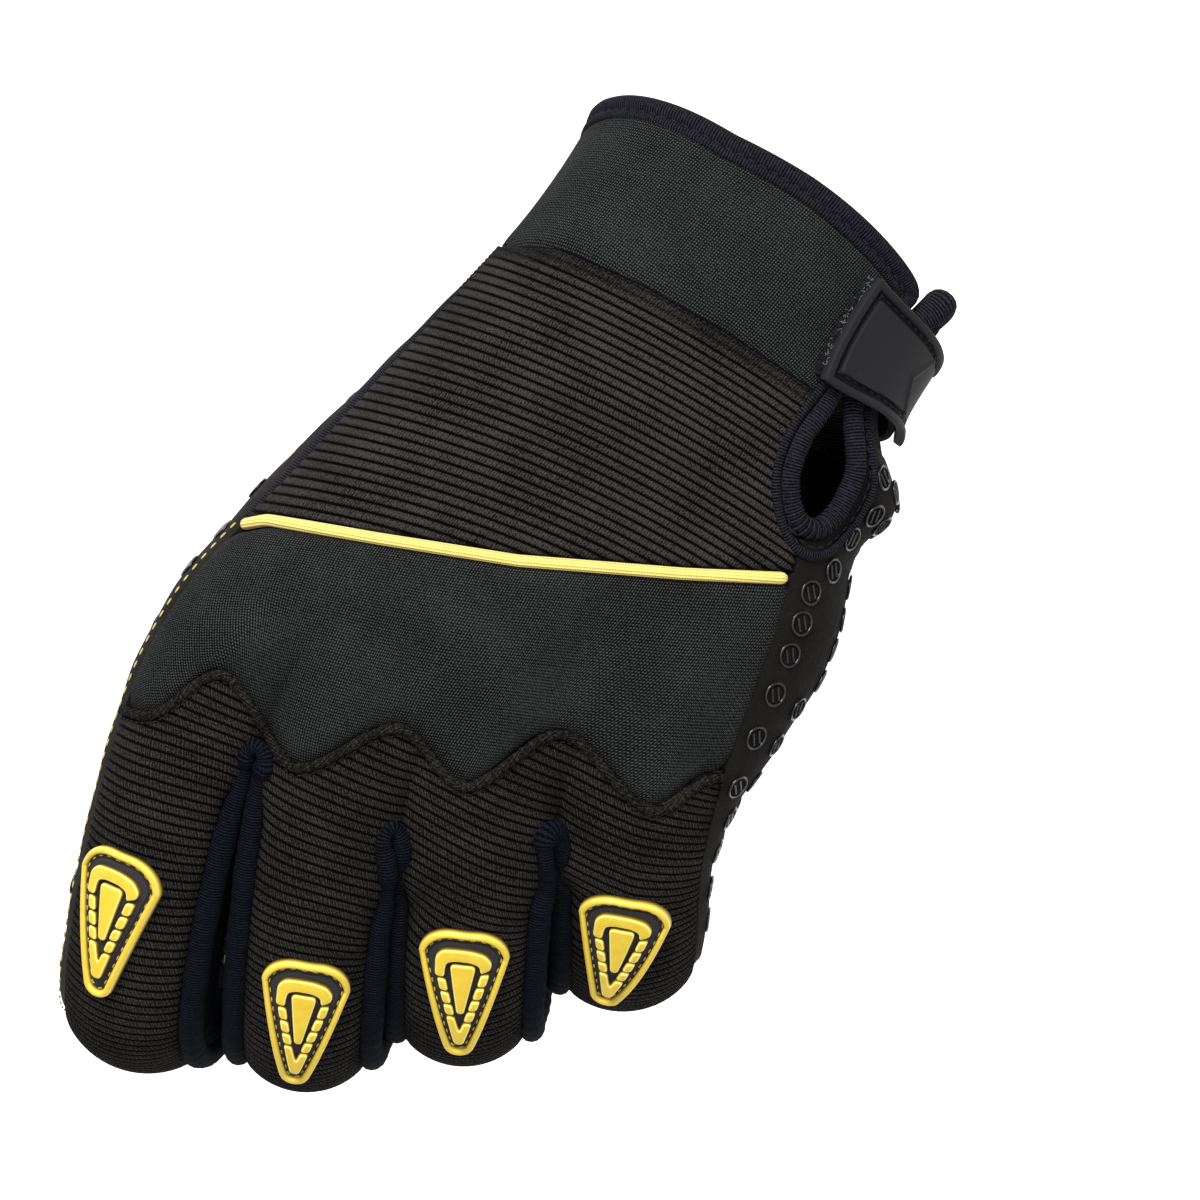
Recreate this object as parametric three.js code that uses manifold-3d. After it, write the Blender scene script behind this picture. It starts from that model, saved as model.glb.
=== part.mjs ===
// Left-hand mechanic's glove, closed as round a bar. Millimetres.
// Origin: centre of the wrist opening. +Z: out of the back of the hand. -Y: towards the fingertips.
// +X: towards the little finger.
import * as THREE from 'three';
import { mergeVertices } from 'three/addons/utils/BufferGeometryUtils.js';
import Module from 'manifold-3d';

const wasm = await Module();
wasm.setup();

// Walls and seams
const NEOPRENE = 2.4;
const RIBBED_CLOTH = 1.8;
const SUEDE = 1.6;
const KNIT = 1.5;
const SEAM_INSET = 0.25;
const CLEARANCE = 0.3;
const PIPING_RADIUS = 1.0;
const BINDING_RADIUS = 1.5;
const KEYHOLE_BINDING_RADIUS = 1.7;

// Stations along every finger ray
const CUFF_TOP = 0.12;
const CUFF_SEAM = 1;
const FOURCHETTE_END = 5.5;
const TIP = 6;
const POLE = 7;

// Centre lines of the four finger rays, from the wrist opening to the fingertip, one row per station.
// side, back and palm are the outer radii; roll turns the section about the ray, in degrees.
const RAYS = [
  { name: 'index', rows: [
    { x: -6.1, y: 3.4, z: 0, side: 22.6, back: 22, palm: 22, roll: 0 },
    { x: -22.8, y: -16.4, z: 9, side: 19.6, back: 20, palm: 20, roll: 0 },
    { x: -61, y: -53, z: 13, side: 15, back: 15, palm: 15, roll: 4 },
    { x: -88, y: -80, z: 14, side: 13, back: 14, palm: 13, roll: 12 },
    { x: -102, y: -129, z: -6, side: 13.4, back: 12.5, palm: 11, roll: 20 },
    { x: -96.8, y: -130, z: -36, side: 12.2, back: 11.5, palm: 10.5, roll: 14 },
    { x: -89, y: -112, z: -53, side: 10.6, back: 10, palm: 9.5, roll: 8 },
  ] },
  { name: 'middle', rows: [
    { x: -2, y: 1.1, z: 0, side: 22.5, back: 22.5, palm: 22, roll: 0 },
    { x: -16.9, y: -19.1, z: 9, side: 20.5, back: 20.5, palm: 20, roll: 0 },
    { x: -46, y: -56, z: 15, side: 16, back: 15.5, palm: 15, roll: 0 },
    { x: -66, y: -88, z: 17, side: 13, back: 14, palm: 13, roll: 2 },
    { x: -74, y: -133, z: -5, side: 12.6, back: 12.5, palm: 11, roll: 3 },
    { x: -72, y: -132, z: -35, side: 11.8, back: 11.5, palm: 10.5, roll: 2 },
    { x: -68, y: -112, z: -52, side: 10.6, back: 10, palm: 9.5, roll: 0 },
  ] },
  { name: 'ring', rows: [
    { x: 2, y: -1.1, z: 0, side: 22.5, back: 22.5, palm: 22, roll: 0 },
    { x: -11.1, y: -21.9, z: 9, side: 20.5, back: 20.5, palm: 20, roll: 0 },
    { x: -25, y: -58, z: 14.5, side: 16, back: 15.5, palm: 15, roll: 0 },
    { x: -42, y: -90, z: 16, side: 13, back: 13.5, palm: 13, roll: 0 },
    { x: -47.5, y: -129, z: -5, side: 12.7, back: 12.3, palm: 11, roll: 0 },
    { x: -46.5, y: -129, z: -34, side: 11.8, back: 11.3, palm: 10.5, roll: 0 },
    { x: -45, y: -110, z: -50, side: 10.4, back: 10, palm: 9.5, roll: 0 },
  ] },
  { name: 'little', rows: [
    { x: 6.1, y: -3.4, z: 0, side: 22.6, back: 22, palm: 22, roll: 0 },
    { x: -5.2, y: -24.6, z: 9, side: 20.4, back: 20, palm: 20, roll: 0 },
    { x: -7, y: -60, z: 12, side: 14, back: 14, palm: 15, roll: 0 },
    { x: -18, y: -93, z: 12, side: 13, back: 13, palm: 12.5, roll: -2 },
    { x: -20, y: -121.5, z: -7, side: 12.9, back: 11.5, palm: 10.5, roll: -4 },
    { x: -21.5, y: -121, z: -30, side: 11.6, back: 10.8, palm: 10, roll: -2 },
    { x: -22, y: -105, z: -43, side: 9.8, back: 9.4, palm: 9, roll: 0 },
  ] },
];

// Direction across the hand in the XY plane, in degrees, at each station
const ACROSS = [-29, -25, -11, -6, 0, 0, 0];
const MIDDLE_OF_HAND = 1.5;

// Swell of the palm on the little-finger side and under the thumb, at half-station steps
const HEEL_SWELL = { angle: 105, spread: 38, reach: 0.8, heights: [7, 8, 9, 10, 11, 9, 6, 1, 0, 0, 0, 0, 0, 0, 0] };
const THUMB_SWELL = { angle: -150, spread: 34, reach: 0.9, heights: [0, 0, 3, 9, 13, 11, 4, 0, 0, 0, 0, 0, 0, 0, 0] };
// Fold of the palm that bulges beside the keyhole vent
const VENT_FOLD = { angle: 104, spread: 24, reach: 0.6, station: 1.22, length: 0.26, height: 8 };

// Where neighbouring fingers part, as a station, from index to little
const FORKS = [3.12, 3.38, 3.36];
const FORK_RUN_IN = 0.75;
const FORK_OPENING = 0.17;

// Seams of the back, seen from above: x and y of the points that the seam runs through
const CUFF_SEAM_LINE = [
  { x: -60, y: -14 }, { x: -41.3, y: -7.5 }, { x: -31.3, y: -8.5 }, { x: -18, y: -14.5 },
  { x: -4.7, y: -22 }, { x: 7, y: -29.5 }, { x: 13.3, y: -33.5 }, { x: 30, y: -43 },
];
const PIPING_LINE = [
  { x: -100, y: -54.5 }, { x: -84.7, y: -53.5 }, { x: -79, y: -52.6 }, { x: -60.7, y: -55.8 },
  { x: -38, y: -59.4 }, { x: -11.3, y: -61.5 }, { x: 4.7, y: -62.3 }, { x: 20, y: -62.5 },
];
// The wave seam is cosine swings between its crests and dips
const WAVE_LINE = [
  { x: -112, y: -80 }, { x: -98.5, y: -83.8 }, { x: -86.2, y: -77 }, { x: -73.7, y: -92.2 },
  { x: -57.3, y: -85.7 }, { x: -46.7, y: -95.3 }, { x: -31.2, y: -86.7 }, { x: -15.5, y: -99.4 },
  { x: -6, y: -94 }, { x: 10, y: -88 },
];

// Angles of the panel edges round a ray, in degrees from the back
const FINGER_EDGE = 55;
const EDGE_STATIONS = [0, 1, 2, 3, 4, 4.6, FOURCHETTE_END, POLE];
const INDEX_EDGE = [80, 80, 76, 64, 52, 58, 90, 90];
const LITTLE_EDGE = [72, 62, 52, 58, 62, 65, 90, 90];
const INNER_EDGE = [FINGER_EDGE, FINGER_EDGE, FINGER_EDGE, FINGER_EDGE, FINGER_EDGE, 58, 90, 90];

// Slit and keyhole vent on the little-finger side: half width in mm along the ray
const KEYHOLE_END = 1.7;
const KEYHOLE_WIDEST = 1.42;
const KEYHOLE_ROWS = [1.2, 1.42, 1.57, 1.66, KEYHOLE_END];
const KEYHOLE_HALF = 7.8;
const SLIT_HALF = 4;
const GUSSET_HALF = 3.2;
const STATION_LENGTH = 28;
const PIPING_START = 0.03;
const PIPING_SUNK = 0.3;
const THUMB_HOLE_GAP = 0.4;
const THUMB_SEAT_GAP = 0.6;

const lerp = (a, b, f) => a + (b - a) * f;
const clamp = (v, low, high) => Math.min(high, Math.max(low, v));
const smooth = (v) => {
  const f = clamp(v, 0, 1);
  return f * f * (3 - 2 * f);
};
const radians = (degrees) => (degrees * Math.PI) / 180;

// Catmull-Rom value at a fractional place in an evenly spaced list
function splined(list, place) {
  const last = list.length - 1;
  const k = clamp(Math.floor(place), 0, last - 1);
  const f = clamp(place - k, 0, 1);
  const p1 = list[k];
  const p2 = list[k + 1];
  const p0 = k > 0 ? list[k - 1] : 2 * p1 - p2;
  const p3 = k + 2 <= last ? list[k + 2] : 2 * p2 - p1;
  const cubic = (3 * (p1 - p2) + p3 - p0) * f;
  return p1 + 0.5 * f * (p2 - p0 + f * (2 * p0 - 5 * p1 + 4 * p2 - p3 + cubic));
}

// Straight-line value at x in a table of stations
function tabled(stations, values, x) {
  let k = 0;
  while (k < stations.length - 2 && x > stations[k + 1]) k += 1;
  const f = clamp((x - stations[k]) / (stations[k + 1] - stations[k]), 0, 1);
  return lerp(values[k], values[k + 1], f);
}

const COLUMNS = ['x', 'y', 'z', 'side', 'back', 'palm', 'roll'];
const RAY_COLUMNS = RAYS.map((ray) => COLUMNS.map((name) => ray.rows.map((row) => row[name])));

// Values of a ray, or of a place between two rays, at a station
function rayValues(place, station) {
  const t = Math.min(station, TIP);
  return COLUMNS.map((_, c) => splined(RAY_COLUMNS.map((ray) => splined(ray[c], t)), place));
}

// Direction of a ray at a station
function heading(place, station) {
  const step = 0.02;
  const behind = rayValues(place, Math.max(station - step, 0));
  const ahead = rayValues(place, Math.min(station + step, TIP));
  return new THREE.Vector3(ahead[0] - behind[0], ahead[1] - behind[1], ahead[2] - behind[2]).normalize();
}

// Section of a ray: centre, directions along, across and to the back, and radii
function section(place, station) {
  const [x, y, z, side, back, palm, roll] = rayValues(place, station);
  const t = Math.min(station, TIP);
  const along = heading(MIDDLE_OF_HAND, t).lerp(heading(place, t), smooth(t - 1.8)).normalize();
  const turn = radians(splined(ACROSS, t));
  const across = new THREE.Vector3(Math.cos(turn), Math.sin(turn), 0);
  across.addScaledVector(along, -across.dot(along)).normalize();
  across.applyAxisAngle(along, radians(roll));
  const up = new THREE.Vector3().crossVectors(along, across);
  return { centre: new THREE.Vector3(x, y, z), along, across, up, side, back, palm };
}

// How far a swell reaches at a place across the hand and an angle round it, from 0 to 1
function spreadOf(kind, place, ray, angle) {
  let away = Math.abs(angle - kind.angle);
  away = Math.min(away, 360 - away);
  return Math.exp(-0.5 * (away / kind.spread) ** 2) * Math.exp(-(((place - ray) / kind.reach) ** 2));
}

function swell(kind, place, ray, angle, station) {
  const height = splined(kind.heights, Math.min(station, POLE) * 2);
  return Math.max(height, 0) * spreadOf(kind, place, ray, angle);
}

function ventFold(place, angle, station) {
  const along = Math.exp(-(((station - VENT_FOLD.station) / VENT_FOLD.length) ** 2));
  return VENT_FOLD.height * along * spreadOf(VENT_FOLD, place, 3, angle);
}

// Point of a ray's outer surface at an angle from the back; out is the direction away from the hollow
function ringPoint(place, angle, station) {
  const s = section(place, station);
  const sin = Math.sin(radians(angle));
  const cos = Math.cos(radians(angle));
  const deep = cos > 0 ? s.back : s.palm;
  const round = station > TIP ? radians((station - TIP) * 90) : 0;
  const shrink = Math.cos(round);
  const out = new THREE.Vector3().addScaledVector(s.across, sin / s.side).addScaledVector(s.up, cos / deep);
  out.normalize();
  const point = s.centre.clone();
  point.addScaledVector(s.across, sin * s.side * shrink).addScaledVector(s.up, cos * deep * shrink);
  point.addScaledVector(s.along, Math.sin(round) * s.side);
  const swollen = swell(HEEL_SWELL, place, 3, angle, station) + swell(THUMB_SWELL, place, 0, angle, station);
  point.addScaledVector(out, swollen + ventFold(place, angle, station));
  out.multiplyScalar(shrink).addScaledVector(s.along, Math.sin(round)).normalize();
  return { point, out };
}

function mixPoints(a, b, f) {
  return { point: a.point.clone().lerp(b.point, f), out: a.out.clone().lerp(b.out, f).normalize() };
}

// Half width of the slit and keyhole, and of the gusset, as an angle at a station
function slitAngle(station) {
  if (station >= KEYHOLE_END) return 0;
  const radius = rayValues(3, station)[3] + 7;
  let half = lerp(SLIT_HALF, KEYHOLE_HALF, smooth((station - 0.9) / (KEYHOLE_WIDEST - 0.9)));
  if (station > KEYHOLE_WIDEST) {
    half = KEYHOLE_HALF * Math.sqrt(1 - ((station - KEYHOLE_WIDEST) / (KEYHOLE_END - KEYHOLE_WIDEST)) ** 2);
  }
  return (half / radius) * (180 / Math.PI);
}

function gussetAngle(station) {
  const f = clamp((station - CUFF_SEAM) / (seamStation('piping', 0) - CUFF_SEAM), 0, 1);
  const radius = rayValues(0, station)[3] + 6;
  return (GUSSET_HALF / radius) * (180 / Math.PI) * Math.sqrt(Math.sin(Math.PI * f));
}

// Edge angle of the back panels, or of the palm, on one side of a finger
function edgeAngle(finger, sign, station, palmSide) {
  if (finger === 0 && sign < 0) {
    const edge = tabled(EDGE_STATIONS, INDEX_EDGE, station);
    return palmSide ? edge + 2 * gussetAngle(station) : edge;
  }
  if (finger === 3 && sign > 0) {
    const edge = tabled(EDGE_STATIONS, LITTLE_EDGE, station);
    return edge + (palmSide ? 1 : -1) * slitAngle(station);
  }
  const edge = tabled(EDGE_STATIONS, INNER_EDGE, station);
  return palmSide ? 180 - edge : edge;
}

// Point on finger number `finger` at an angle, drawn to its neighbour until the fingers part
function fingerPoint(finger, angle, station, pull) {
  const own = ringPoint(finger, angle, station);
  const mate = angle > 0 ? finger + 1 : finger - 1;
  if (mate < 0 || mate > 3 || pull === 0) return own;
  const fork = FORKS[Math.min(finger, mate)];
  const closed = 1 - smooth((station - fork) / FORK_OPENING);
  if (closed === 0) return own;
  const between = mixPoints(own, ringPoint(mate, -angle, station), 0.5);
  return mixPoints(own, between, pull * closed);
}

function forkShare(boundary, station) {
  const fork = FORKS[clamp(boundary, 0, 2)];
  return smooth((station - (fork - FORK_RUN_IN)) / FORK_RUN_IN);
}

// Outer surface of the hand at u, which runs 0 to 4 across the four fingers, on the back or the palm
function handPoint(finger, u, station, palmSide) {
  let number = finger;
  let s = u - number - 0.5;
  if (s <= -0.5 && number > 0 && station <= FORKS[number - 1] + 1e-6) {
    number -= 1;
    s = 0.5;
  }
  const sign = s < 0 ? -1 : 1;
  const edge = edgeAngle(number, sign, station, palmSide);
  const swing = 2 * Math.abs(s);
  const angle = sign * (palmSide ? 180 - swing * (180 - edge) : swing * edge);
  const own = fingerPoint(number, angle, station, swing ** 3);
  const share = lerp(forkShare(number - 1, station), forkShare(number, station), s + 0.5);
  const place = number + s;
  if (share === 1 || place < 0 || place > 3) return own;
  const trunk = ringPoint(place, palmSide ? 180 : 0, station);
  return mixPoints(trunk, own, share);
}

// Height y of a seam line above x
function lineHeight(line, x, waved) {
  let k = 0;
  while (k < line.length - 2 && x > line[k + 1].x) k += 1;
  const f = clamp((x - line[k].x) / (line[k + 1].x - line[k].x), 0, 1);
  return lerp(line[k].y, line[k + 1].y, waved ? smooth(f) : f);
}

const SEAMS = {
  cuff: { line: CUFF_SEAM_LINE, waved: false, low: 0.3, high: 1.8 },
  piping: { line: PIPING_LINE, waved: false, low: 1.2, high: 2.9 },
  wave: { line: WAVE_LINE, waved: true, low: 2.3, high: 3.6 },
};
const seamCache = new Map();

// Station at which column u of the back crosses a seam line, moved along by shift mm
function seamStation(name, u, shift = 0) {
  const key = `${name} ${u} ${shift}`;
  if (seamCache.has(key)) return seamCache.get(key);
  const seam = SEAMS[name];
  let low = seam.low;
  let high = seam.high;
  const finger = clamp(Math.floor(u), 0, 3);
  const edges = u === 0 || u === 4;
  for (let turn = 0; turn < 30; turn += 1) {
    const middle = (low + high) / 2;
    const sample = edges ? edgeSample(u, middle) : handPoint(finger, u, middle, false).point;
    if (sample.y > lineHeight(seam.line, sample.x, seam.waved) - shift) low = middle;
    else high = middle;
  }
  seamCache.set(key, (low + high) / 2);
  return seamCache.get(key);
}

// The outer edges of the back, where the gusset's width must not be asked for
function edgeSample(u, station) {
  const finger = u === 0 ? 0 : 3;
  const table = u === 0 ? INDEX_EDGE : LITTLE_EDGE;
  const sign = u === 0 ? -1 : 1;
  return ringPoint(finger, sign * tabled(EDGE_STATIONS, table, station), station).point;
}

// A sheet is welded points with their outward directions, and triangles
class Sheet {
  constructor() {
    this.points = [];
    this.outs = [];
    this.triangles = [];
    this.known = new Map();
  }

  add({ point, out }) {
    const key = point.toArray().map((v) => Math.round(v * 2000)).join(' ');
    if (!this.known.has(key)) {
      this.known.set(key, this.points.length);
      this.points.push(point.clone());
      this.outs.push(out.clone());
    }
    return this.known.get(key);
  }

  // Quads between rows of points; rows run so that across x along faces out
  addRows(rows) {
    const ids = rows.map((row) => row.map((p) => this.add(p)));
    for (let r = 0; r + 1 < ids.length; r += 1) {
      for (let c = 0; c + 1 < ids[r].length; c += 1) {
        const a = ids[r][c];
        const b = ids[r][c + 1];
        const e = ids[r + 1][c];
        const f = ids[r + 1][c + 1];
        const short = this.points[a].distanceTo(this.points[f]) < this.points[b].distanceTo(this.points[e]);
        const pair = short ? [[a, e, f], [a, f, b]] : [[a, e, b], [b, e, f]];
        pair.forEach((t) => {
          if (new Set(t).size === 3) this.triangles.push(t);
        });
      }
    }
  }
}

// Closed wall from a sheet: its edges drawn in by inset, its inner face thickness below
function wall(sheet, thickness, inset = SEAM_INSET) {
  const { points, outs, triangles } = sheet;
  const edges = new Map();
  triangles.forEach(([a, b, c]) => {
    [[a, b], [b, c], [c, a]].forEach(([i, j]) => {
      if (edges.has(`${j} ${i}`)) edges.delete(`${j} ${i}`);
      else edges.set(`${i} ${j}`, [i, j]);
    });
  });
  const drawn = points.map(() => []);
  edges.forEach(([i, j]) => {
    const way = points[j].clone().sub(points[i]);
    const out = outs[i].clone().add(outs[j]);
    const inward = out.cross(way).normalize();
    drawn[i].push(inward);
    drawn[j].push(inward);
  });
  const outer = points.map((p, k) => {
    if (drawn[k].length < 2) return p;
    const sum = new THREE.Vector3();
    drawn[k].forEach((v) => sum.add(v));
    const bend = Math.max(sum.length() / drawn[k].length, 0.5);
    return p.clone().addScaledVector(sum.normalize(), inset / bend);
  });
  const inner = outer.map((p, k) => p.clone().addScaledVector(outs[k], -thickness));
  const n = points.length;
  const faces = [];
  triangles.forEach(([a, b, c]) => {
    faces.push([a, b, c], [a + n, c + n, b + n]);
  });
  edges.forEach(([i, j]) => faces.push([i, i + n, j], [j, i + n, j + n]));
  return solid([...outer, ...inner], faces);
}

function solid(points, faces) {
  const geometry = new THREE.BufferGeometry();
  geometry.setAttribute('position', new THREE.Float32BufferAttribute(points.flatMap((p) => p.toArray()), 3));
  geometry.setIndex(faces.flat());
  return geometry;
}

// Joining and cutting
function manifold(geometry) {
  const bare = geometry.clone();
  bare.deleteAttribute('normal');
  bare.deleteAttribute('uv');
  const merged = mergeVertices(bare, 1e-4);
  return new wasm.Manifold(new wasm.Mesh({
    numProp: 3,
    vertProperties: new Float32Array(merged.attributes.position.array),
    triVerts: new Uint32Array(merged.index.array),
  }));
}

function geometryOf(body) {
  const mesh = body.getMesh();
  const geometry = new THREE.BufferGeometry();
  geometry.setAttribute('position', new THREE.Float32BufferAttribute(mesh.vertProperties, 3));
  geometry.setIndex(Array.from(mesh.triVerts));
  return geometry;
}

// Columns across the hand, closer together at the outer edges
const COLUMN_PLACES = [
  [0, 0.125, 0.25, 0.375, 0.5, 0.75, 1],
  [1, 1.25, 1.5, 1.75, 2],
  [2, 2.25, 2.5, 2.75, 3],
  [3, 3.25, 3.5, 3.625, 3.75, 3.875, 4],
];

// The palm needs fewer
const PALM_PLACES = [
  [0, 0.2, 0.5, 0.75, 1],
  [1, 1.33, 1.67, 2],
  [2, 2.33, 2.67, 3],
  [3, 3.25, 3.5, 3.67, 3.83, 4],
];

const CUFF_ROWS = 4;
const KNUCKLE_ROWS = 6;
const WEB_ROWS = 3;
const FINGER_STEPS = [0, 0.03, 0.07, 0.15, 0.25, 0.36, 0.47, 0.58, 0.7, 0.85, 1];
const WEB_COLUMNS = 3;
const TIP_ROWS = [5.75, 6, 6.5, POLE];

const steps = (count) => Array.from({ length: count + 1 }, (_, k) => k / count);
const fork = (u) => tabled([0, 1, 2, 3, 4], [FORKS[0], ...FORKS, FORKS[2]], u);

// Stations of a panel's rows at column u
const panelRows = {
  cuff: (u) => steps(CUFF_ROWS).map((f) => lerp(CUFF_TOP, seamStation('cuff', u), f)),
  rib: (u) => {
    const start = seamStation('cuff', u);
    const end = seamStation('piping', u, -PIPING_RADIUS - 0.1);
    const ulnar = [start, ...KEYHOLE_ROWS, lerp(KEYHOLE_END, end, 0.5), end];
    const share = smooth(u / 4);
    return ulnar.map((station, k) => lerp(lerp(start, end, k / (ulnar.length - 1)), station, share));
  },
  knuckle: (u) => {
    const start = seamStation('piping', u, PIPING_RADIUS + 0.1);
    return steps(KNUCKLE_ROWS).map((f) => lerp(start, seamStation('wave', u), f));
  },
  web: (u) => steps(WEB_ROWS).map((f) => lerp(seamStation('wave', u), fork(u), f)),
  finger: (u) => FINGER_STEPS.map((f) => lerp(fork(u), FOURCHETTE_END, f)),
  tip: () => [FOURCHETTE_END, ...TIP_ROWS],
};

// Rows of one finger's columns over a run of panels, from the back or the palm
function fingerGrid(finger, names, palmSide) {
  const places = (palmSide ? PALM_PLACES : COLUMN_PLACES)[finger];
  const columns = places.map((u) => {
    const list = names.flatMap((name, k) => stationsAt(name, u, palmSide).slice(k ? 1 : 0));
    return list.map((station) => handPoint(finger, u, station, palmSide));
  });
  const rows = columns[0].map((_, r) => columns.map((column) => column[r]));
  return palmSide ? rows.map((row) => row.slice().reverse()) : rows;
}

// The palm's rows meet the back's at both edges and run evenly between
function stationsAt(name, u, palmSide) {
  if (!palmSide || name === 'finger' || name === 'tip') return panelRows[name](u);
  const left = panelRows[name](0);
  const right = panelRows[name](4);
  const end = name === 'web' ? fork(u) : null;
  return left.map((station, k) => {
    const plain = lerp(station, right[k], smooth(u / 4));
    if (end === null) return plain;
    const wave = lerp(left[0], right[0], smooth(u / 4));
    return lerp(wave, end, k / WEB_ROWS);
  });
}

function handSheet(names, palmSide) {
  const sheet = new Sheet();
  COLUMN_PLACES.forEach((_, finger) => sheet.addRows(fingerGrid(finger, names, palmSide)));
  return sheet;
}

// Cuff: the back and the palm side are one sheet, joined on the index side
function cuffSheet() {
  const sheet = handSheet(['cuff'], false);
  COLUMN_PLACES.forEach((_, finger) => sheet.addRows(fingerGrid(finger, ['cuff'], true)));
  return sheet;
}

const glove = new THREE.Group();
glove.name = 'mechanic_glove';

const MATERIALS = {
  neoprene: [0x232826, 0.85],
  ribbed: [0x1f1a17, 0.95],
  suede: [0x1d1816, 0.9],
  navy_knit: [0x12141f, 0.9],
  yellow_cord: [0xf2dd1e, 0.6],
  yellow_rubber: [0xf0dc22, 0.45],
  dark_rubber: [0x202124, 0.6],
};

function place(name, geometry, slot) {
  const [color, roughness] = MATERIALS[slot];
  const mesh = new THREE.Mesh(geometry, new THREE.MeshStandardMaterial({ color, roughness, metalness: 0 }));
  mesh.name = name;
  glove.add(mesh);
  return mesh;
}

// Knit folded between two fingers: down one finger's side, round the fork and up the next
function fourchetteSheet(boundary) {
  const stations = panelRows.finger(boundary + 1);
  const side = (finger, sign, station) => {
    const edge = tabled(EDGE_STATIONS, INNER_EDGE, station);
    return steps(WEB_COLUMNS).map((f) => fingerPoint(finger, sign * lerp(180 - edge, edge, f), station, 1));
  };
  const sheet = new Sheet();
  const first = stations.map((station) => side(boundary, 1, station)).reverse();
  const second = stations.slice(1).map((station) => side(boundary + 1, -1, station));
  sheet.addRows([...first, ...second]);
  return sheet;
}

// Knit strip between the ribbed cloth and the palm on the index side
function gussetSheet() {
  const sheet = new Sheet();
  sheet.addRows(panelRows.rib(0).map((station) => {
    const low = edgeAngle(0, -1, station, true);
    const high = edgeAngle(0, -1, station, false);
    return steps(2).map((f) => ringPoint(0, -lerp(low, high, f), station));
  }));
  return sheet;
}

// A cord of round section along a path of points
function cord(path, radius, sides, segments, tight = 0.5) {
  const shape = new THREE.Shape();
  for (let k = 0; k < sides; k += 1) {
    const turn = (k / sides) * Math.PI * 2;
    const x = Math.cos(turn) * radius;
    const y = Math.sin(turn) * radius;
    if (k === 0) shape.moveTo(x, y);
    else shape.lineTo(x, y);
  }
  shape.closePath();
  const curve = new THREE.CatmullRomCurve3(path, false, 'catmullrom', tight);
  return new THREE.ExtrudeGeometry(shape, { steps: segments, bevelEnabled: false, extrudePath: curve });
}

function pipingPath() {
  return steps(24).map((f) => {
    const u = lerp(PIPING_START, 4 - PIPING_START, f);
    const { point, out } = handPoint(clamp(Math.floor(u), 0, 3), u, seamStation('piping', u), false);
    return point.addScaledVector(out, -PIPING_SUNK);
  });
}

// A point beside the slit's edge on the back (-1) or palm (+1) side, moved into the slit by mm
function slitPoint(side, station, into, deep) {
  const radius = rayValues(3, station)[3] + 7;
  const middle = tabled(EDGE_STATIONS, LITTLE_EDGE, station);
  const half = slitAngle(station) - (into / radius) * (180 / Math.PI);
  const { point, out } = ringPoint(3, middle + side * half, station);
  return point.addScaledVector(out, -deep);
}

// Binding of the cuff: up one edge of the slit, round the wrist opening and down the other edge
function cuffBindingPath() {
  const into = BINDING_RADIUS + 2 * CLEARANCE;
  const deep = NEOPRENE / 2;
  const rise = CUFF_TOP - into / STATION_LENGTH;
  const slitStations = [0.9, 0.7, 0.5, 0.3, 0.14, rise];
  const back = slitStations.map((station) => slitPoint(-1, station, into, deep));
  const palm = slitStations.map((station) => slitPoint(1, station, into, deep)).reverse();
  const across = COLUMN_PLACES.flatMap((list, finger) => list.slice(1).map((u) => ({ finger, u }))).slice(0, -1);
  const rimPoint = ({ finger, u }, palmSide) => {
    const { point, out } = handPoint(finger, u, rise, palmSide);
    return point.addScaledVector(out, -deep);
  };
  const overBack = across.map((column) => rimPoint(column, false)).reverse();
  const underPalm = across.map((column) => rimPoint(column, true));
  return [...back, ...overBack, rimPoint({ finger: 0, u: 0 }, false), ...underPalm, ...palm];
}

function keyholeBindingPath() {
  const into = KEYHOLE_BINDING_RADIUS + 2 * CLEARANCE;
  const deep = RIBBED_CLOTH / 2;
  const straight = [1.03, 1.15, 1.28];
  const back = straight.map((station) => slitPoint(-1, station, into, deep));
  const palm = straight.map((station) => slitPoint(1, station, into, deep)).reverse();
  const half = slitAngle(KEYHOLE_WIDEST) - (into / 21) * (180 / Math.PI);
  const depth = KEYHOLE_END - KEYHOLE_WIDEST - (into + CLEARANCE) / STATION_LENGTH;
  const bend = steps(8).map((f) => {
    const turn = Math.PI * (1 - f);
    const station = KEYHOLE_WIDEST + Math.sin(turn) * depth;
    const middle = tabled(EDGE_STATIONS, LITTLE_EDGE, station);
    const { point, out } = ringPoint(3, middle + Math.cos(turn) * half, station);
    return point.addScaledVector(out, -deep);
  });
  return [...back, ...bend, ...palm];
}

// Thumb, curled under the fingers: centre line and outer radius
const THUMB_ROWS = [
  { x: -42, y: -37, z: 5, radius: 9 },
  { x: -56, y: -46, z: -14, radius: 13 },
  { x: -68, y: -56, z: -36, radius: 13 },
  { x: -76, y: -72, z: -54, radius: 11.6 },
  { x: -79, y: -94, z: -64, radius: 10.2 },
];
const THUMB_FRONT = new THREE.Vector3(0.15, -0.5, 0.85);
const THUMB_TIP = THUMB_ROWS.length - 1;
const THUMB_STATIONS = [...steps(10).map((f) => f * THUMB_TIP), 4.4, 4.75, 5];
const THUMB_COLUMNS = ['x', 'y', 'z', 'radius'].map((name) => THUMB_ROWS.map((row) => row[name]));

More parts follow.
